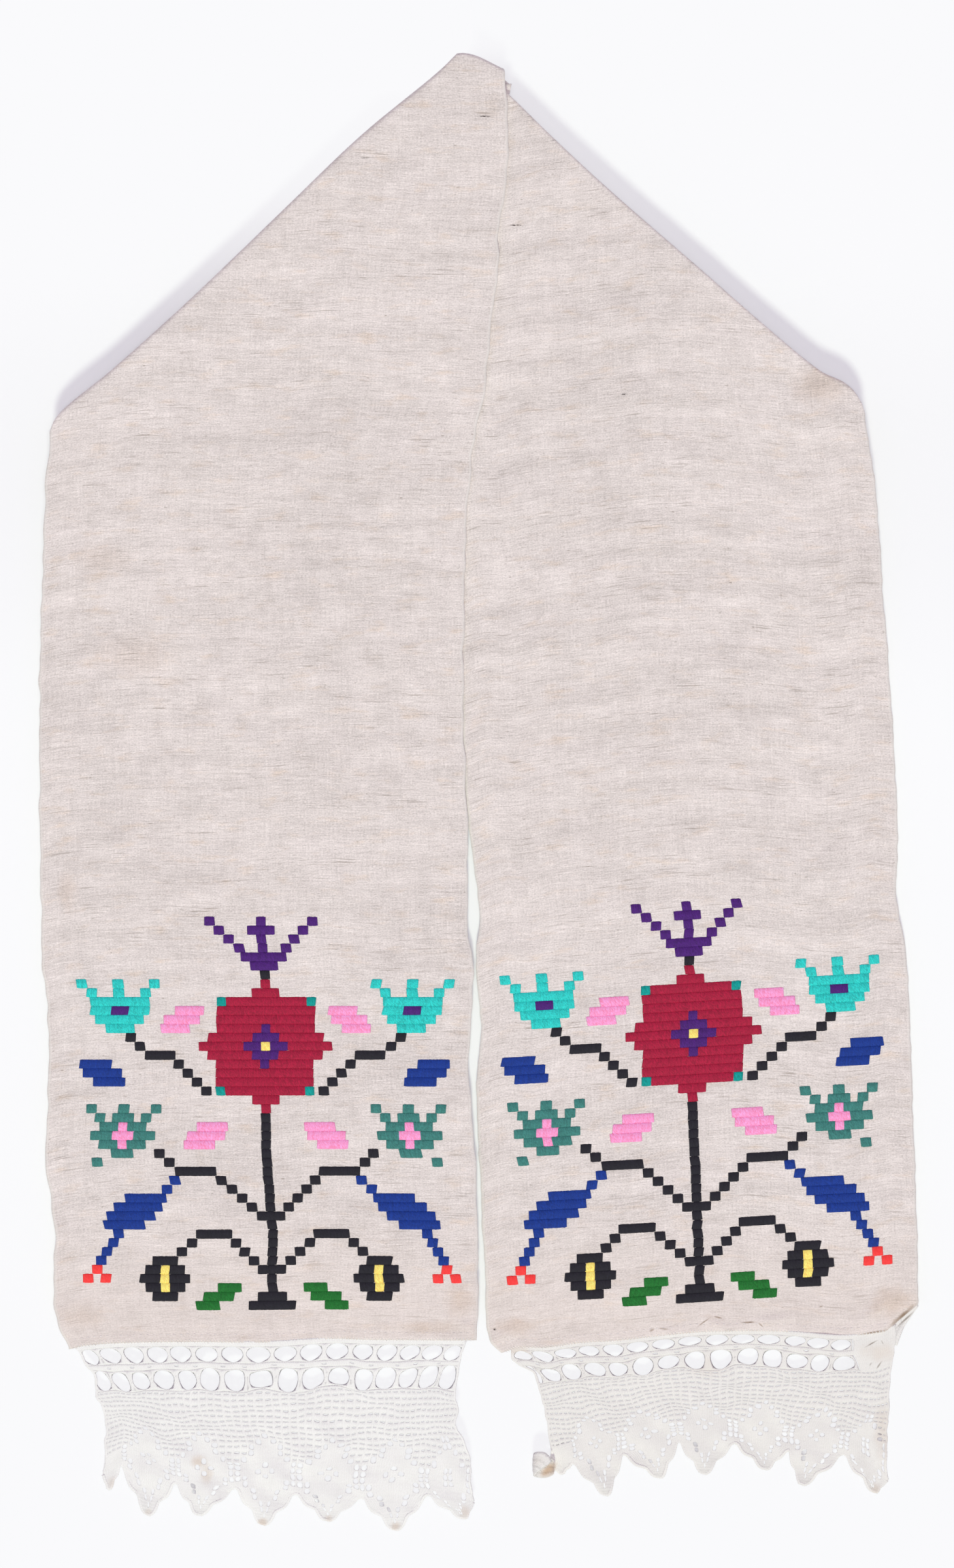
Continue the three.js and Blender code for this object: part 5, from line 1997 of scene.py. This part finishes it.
@dataclass(frozen=True)
class Studio:
    """A white wall behind the cloth, soft light from in front and from below, and the camera.

    Args:
        low: the light from below, as a share of all the light.
        front: the light from in front, as a share.
        room: the even light from all round, as a share.
        gap: how far behind the hang point the wall is, and how far behind the hems.
        white: the colour of the wall.
        sun_tint: the colour of the light from below.
        room_tint: the colour of the even light.
        lens: of the camera, in mm, on a frame 24 mm high.
        eye: where the camera is.
    """

    low: float = 0.41
    front: float = 0.34
    room: float = 0.36
    gap: tuple[float, float] = (0.040, 0.0085)
    white: Triple = (250, 250, 252)
    sun_tint: Triple = (0.88, 1.0, 0.8)
    room_tint: Triple = (0.908, 0.772, 1.0)
    lens: float = 58.5
    eye: Triple = (-0.0074, -3.6, -0.681)

    def build(self) -> None:
        """Puts the stage, the light and the camera in the scene."""
        self.wall()
        self.lights()
        self.camera()

    def wall(self) -> None:
        """A wall that stands off behind the top of the cloth and nearly touches the rest.

        It glows to the eye as painted light, which lightens its shadows, except where a shadow is wanted.
        """
        heights = np.linspace(-3.6, 2.4, 160)
        top, foot = self.gap
        back = foot + (top - foot) * smooth(heights, -0.6, -0.2)
        left = np.stack([np.full(len(heights), -6.0), back, heights], -1)
        points = np.concatenate([left, left * (-1, 1, 1)])
        count = len(heights)
        first = np.arange(count - 1)
        faces = np.stack([first, first + count, first + count + 1, first + 1], -1)
        backdrop = placed("backdrop", make_mesh("backdrop", points, faces))
        material, nodes, shader = start_material("backdrop", 1.0)
        shader.inputs["Base Color"].default_value = linear(self.white)
        shader.inputs["Specular IOR Level"].default_value = 0.0
        place = nodes.add("ShaderNodeTexCoord").outputs["Object"]
        parts = nodes.add("ShaderNodeSeparateXYZ", {"Vector": place}).outputs
        up = parts["Z"]
        eye = nodes.add("ShaderNodeLightPath").outputs["Is Camera Ray"]
        # Painted light: the glow grows behind the laces, high up, on the upper left and above the hang point.
        low, high = nodes.span(up, -1.21, -1.16, 0.82, 0.25), nodes.span(up, -0.32, 0.0, 0, 0.3)
        shadows = marks(nodes, "wall_shadows", WALL_SHADOWS, place)
        left = nodes.math("MULTIPLY", nodes.span(parts["X"], -0.06, 0.0, 1, 0),
                          nodes.span(up, -0.27, -0.1, 0, 0.42))
        above = nodes.span(up, -0.03, 0.03, 0, 0.4)
        glow = nodes.weighted(((low, 1.0), (high, 1.0), (left, 1.0), (above, 1.0)))
        glow = nodes.math("SUBTRACT", glow, nodes.math("MULTIPLY", shadows, 0.8), clamp=True)
        bright = nodes.add("ShaderNodeEmission", {"Color": linear(self.white), "Strength": 1.0})
        lit = nodes.add("ShaderNodeMixShader", {0: nodes.math("MULTIPLY", eye, glow), 1: shader.outputs[0],
                                                2: bright.outputs[0]})
        clear = nodes.add("ShaderNodeBsdfTransparent")
        behind = nodes.add("ShaderNodeNewGeometry").outputs["Backfacing"]
        seen = nodes.add("ShaderNodeMixShader", {0: behind, 1: lit.outputs[0], 2: clear.outputs[0]})
        output = next(n for n in nodes.tree.nodes if n.bl_idname == "ShaderNodeOutputMaterial")
        nodes.put(output.inputs["Surface"], seen.outputs[0])
        backdrop.data.materials.append(material)
        backdrop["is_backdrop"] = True

    def lights(self) -> None:
        """A soft light from below, a wide one from in front, and a pale room."""
        distant = bpy.data.lights.new("from_below", "SUN")
        heading = Vector((0.03, 1, 0.78)).normalized()
        distant.energy = self.low * math.pi / heading.y
        distant.angle = math.radians(9)
        distant.color = self.sun_tint
        self.put(distant, (0, -4, -3.6), heading)
        wide = bpy.data.lights.new("from_front", "AREA")
        place, target = Vector((0, -4.4, -0.6)), Vector((0, 0, -0.75))
        wide.size = 1.1
        away = target - place
        wide.energy = self.front * math.pi**2 * away.length**2 / (away.normalized().y)
        self.put(wide, place, away)
        world = bpy.data.worlds.new("room")
        world.use_nodes = True
        nodes = Nodes(world.node_tree)
        light = world.node_tree.nodes["Background"]
        light.inputs["Color"].default_value = (*self.room_tint, 1.0)
        light.inputs["Strength"].default_value = self.room
        plain = nodes.add("ShaderNodeBackground", {"Color": linear(self.white), "Strength": 1.0})
        eye = nodes.add("ShaderNodeLightPath").outputs["Is Camera Ray"]
        both = nodes.add("ShaderNodeMixShader", {0: eye, 1: light.outputs[0], 2: plain.outputs[0]})
        nodes.put(world.node_tree.nodes["World Output"].inputs["Surface"], both.outputs[0])
        bpy.context.scene.world = world

    @staticmethod
    def put(light: bpy.types.Light, place: Triple, heading: Vector) -> None:
        """Puts a light in the scene, shining along a heading."""
        lamp = placed(light.name, light)
        lamp.location = place
        lamp.rotation_euler = heading.to_track_quat("-Z", "Y").to_euler()
        lamp.visible_camera = False

    def camera(self) -> None:
        """The camera, square to the cloth."""
        data = bpy.data.cameras.new("camera")
        data.sensor_fit = "VERTICAL"
        data.sensor_height, data.lens = 24, self.lens
        camera = placed("camera", data)
        camera.location = self.eye
        camera.rotation_euler = (math.pi / 2, 0, 0)
        bpy.context.scene.camera = camera


# The scene


# Stains on the laces; the strong spot at across 59 is painted shade inside the curled corner.
LACE_STAINS_AND_SHADE = (
    Spot(-268, 1318, 12, 10, 0.5), Spot(-262, 1330, 9, 16, 0.35), Spot(-317, 1366, 6, 6, 0.3),
    Spot(-209, 1376, 7, 6, 0.5), Spot(-147, 1372, 6, 6, 0.4), Spot(-84, 1380, 8, 7, 0.5),
    Spot(-18, 1366, 10, 10, 0.35), Spot(-350, 1340, 8, 10, 0.3), Spot(59, 1327.5, 13, 7, 1.0, -45),
    Spot(374, 1290, 12, 40, 0.25), Spot(368, 1345, 8, 8, 0.35), Spot(30, 1215, 20, 8, 0.3),
    Spot(210, 1228, 30, 16, 0.15), Spot(370, 1215, 24, 14, 0.25), Spot(50, 1317, 8, 8, 0.12))
# Painted shade along the folds and tucks of the right lace beside the turned corner.
LACE_FOLD_SHADE = (
    Spot(396, 1185.5, 15, 1.5, 0.9, -42),
    Spot(364, 1207.6, 10, 1.1, 1, -29), Spot(374, 1206.5, 4, 1, 0.6, 60), Spot(371, 1228, 6, 1.1, 0.8, -55),
    Spot(363, 1227, 3, 1, 0.6, -60))
# Places behind the laces where the wall's painted glow is taken away, so that the cast shadow shows.
WALL_SHADOWS = (
    Spot(-272, 1345, 15, 12, 1), Spot(-155, 1354, 12, 12, 1), Spot(-90, 1362, 14, 11, 1),
    Spot(72, 1312, 16, 20, 1), Spot(105, 1324, 12, 16, 1), Spot(156, 1314, 12, 14, 1),
    Spot(199, 1308, 8, 14, 0.8), Spot(297, 1319, 9, 14, 1), Spot(372, 1300, 7, 34, 1))


def main() -> None:
    """Builds the towel on its frame and then the studio round it."""
    view = bpy.context.scene.view_settings
    bpy.context.scene.display_settings.display_device = "sRGB"
    view.view_transform = "Standard"
    effects, repeater = Effects(), StitchRepeater()

    linen = Linen()
    cloth = linen.build()
    cloth.data.materials.append(LinenFinish().build(effects))
    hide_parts("cloth")
    log.info("linen: %d triangles", triangles(cloth))

    stitched = Embroidery().build(repeater, effects)
    log.info("embroidery: %d triangles", sum(triangles(piece) for piece in stitched))

    white = LaceFinish("white_lace", (231, 228, 227), (253, 251, 250), LACE_STAINS_AND_SHADE).build(effects)
    cream = LaceFinish("cream_lace", (226, 222, 219), (248, 244, 242), LACE_STAINS_AND_SHADE, LACE_FOLD_SHADE).build(effects)
    laces = [left_lace().build(repeater, white), right_lace().build(repeater, cream)]
    for piece in laces:
        log.info("%s: %d triangles", piece.name, triangles(piece))
    hems = HemStitches().build(repeater, white)

    Studio().build()
    write_size()


def triangles(piece: Object) -> int:
    """How many triangles a piece has."""
    return sum(len(face.vertices) - 2 for face in piece.data.polygons)


def write_size() -> None:
    """Logs the box of the part and of the finished towel."""
    boxes = {"cad": CAD_BOX, "visual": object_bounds()}
    {name: [list(corner) for corner in box] for name, box in boxes.items()}
    for name, box in boxes.items():
        log.info("size of %s: %s", name, [[round(c, 4) for c in corner] for corner in box])


if __name__ == "__main__":
    main()
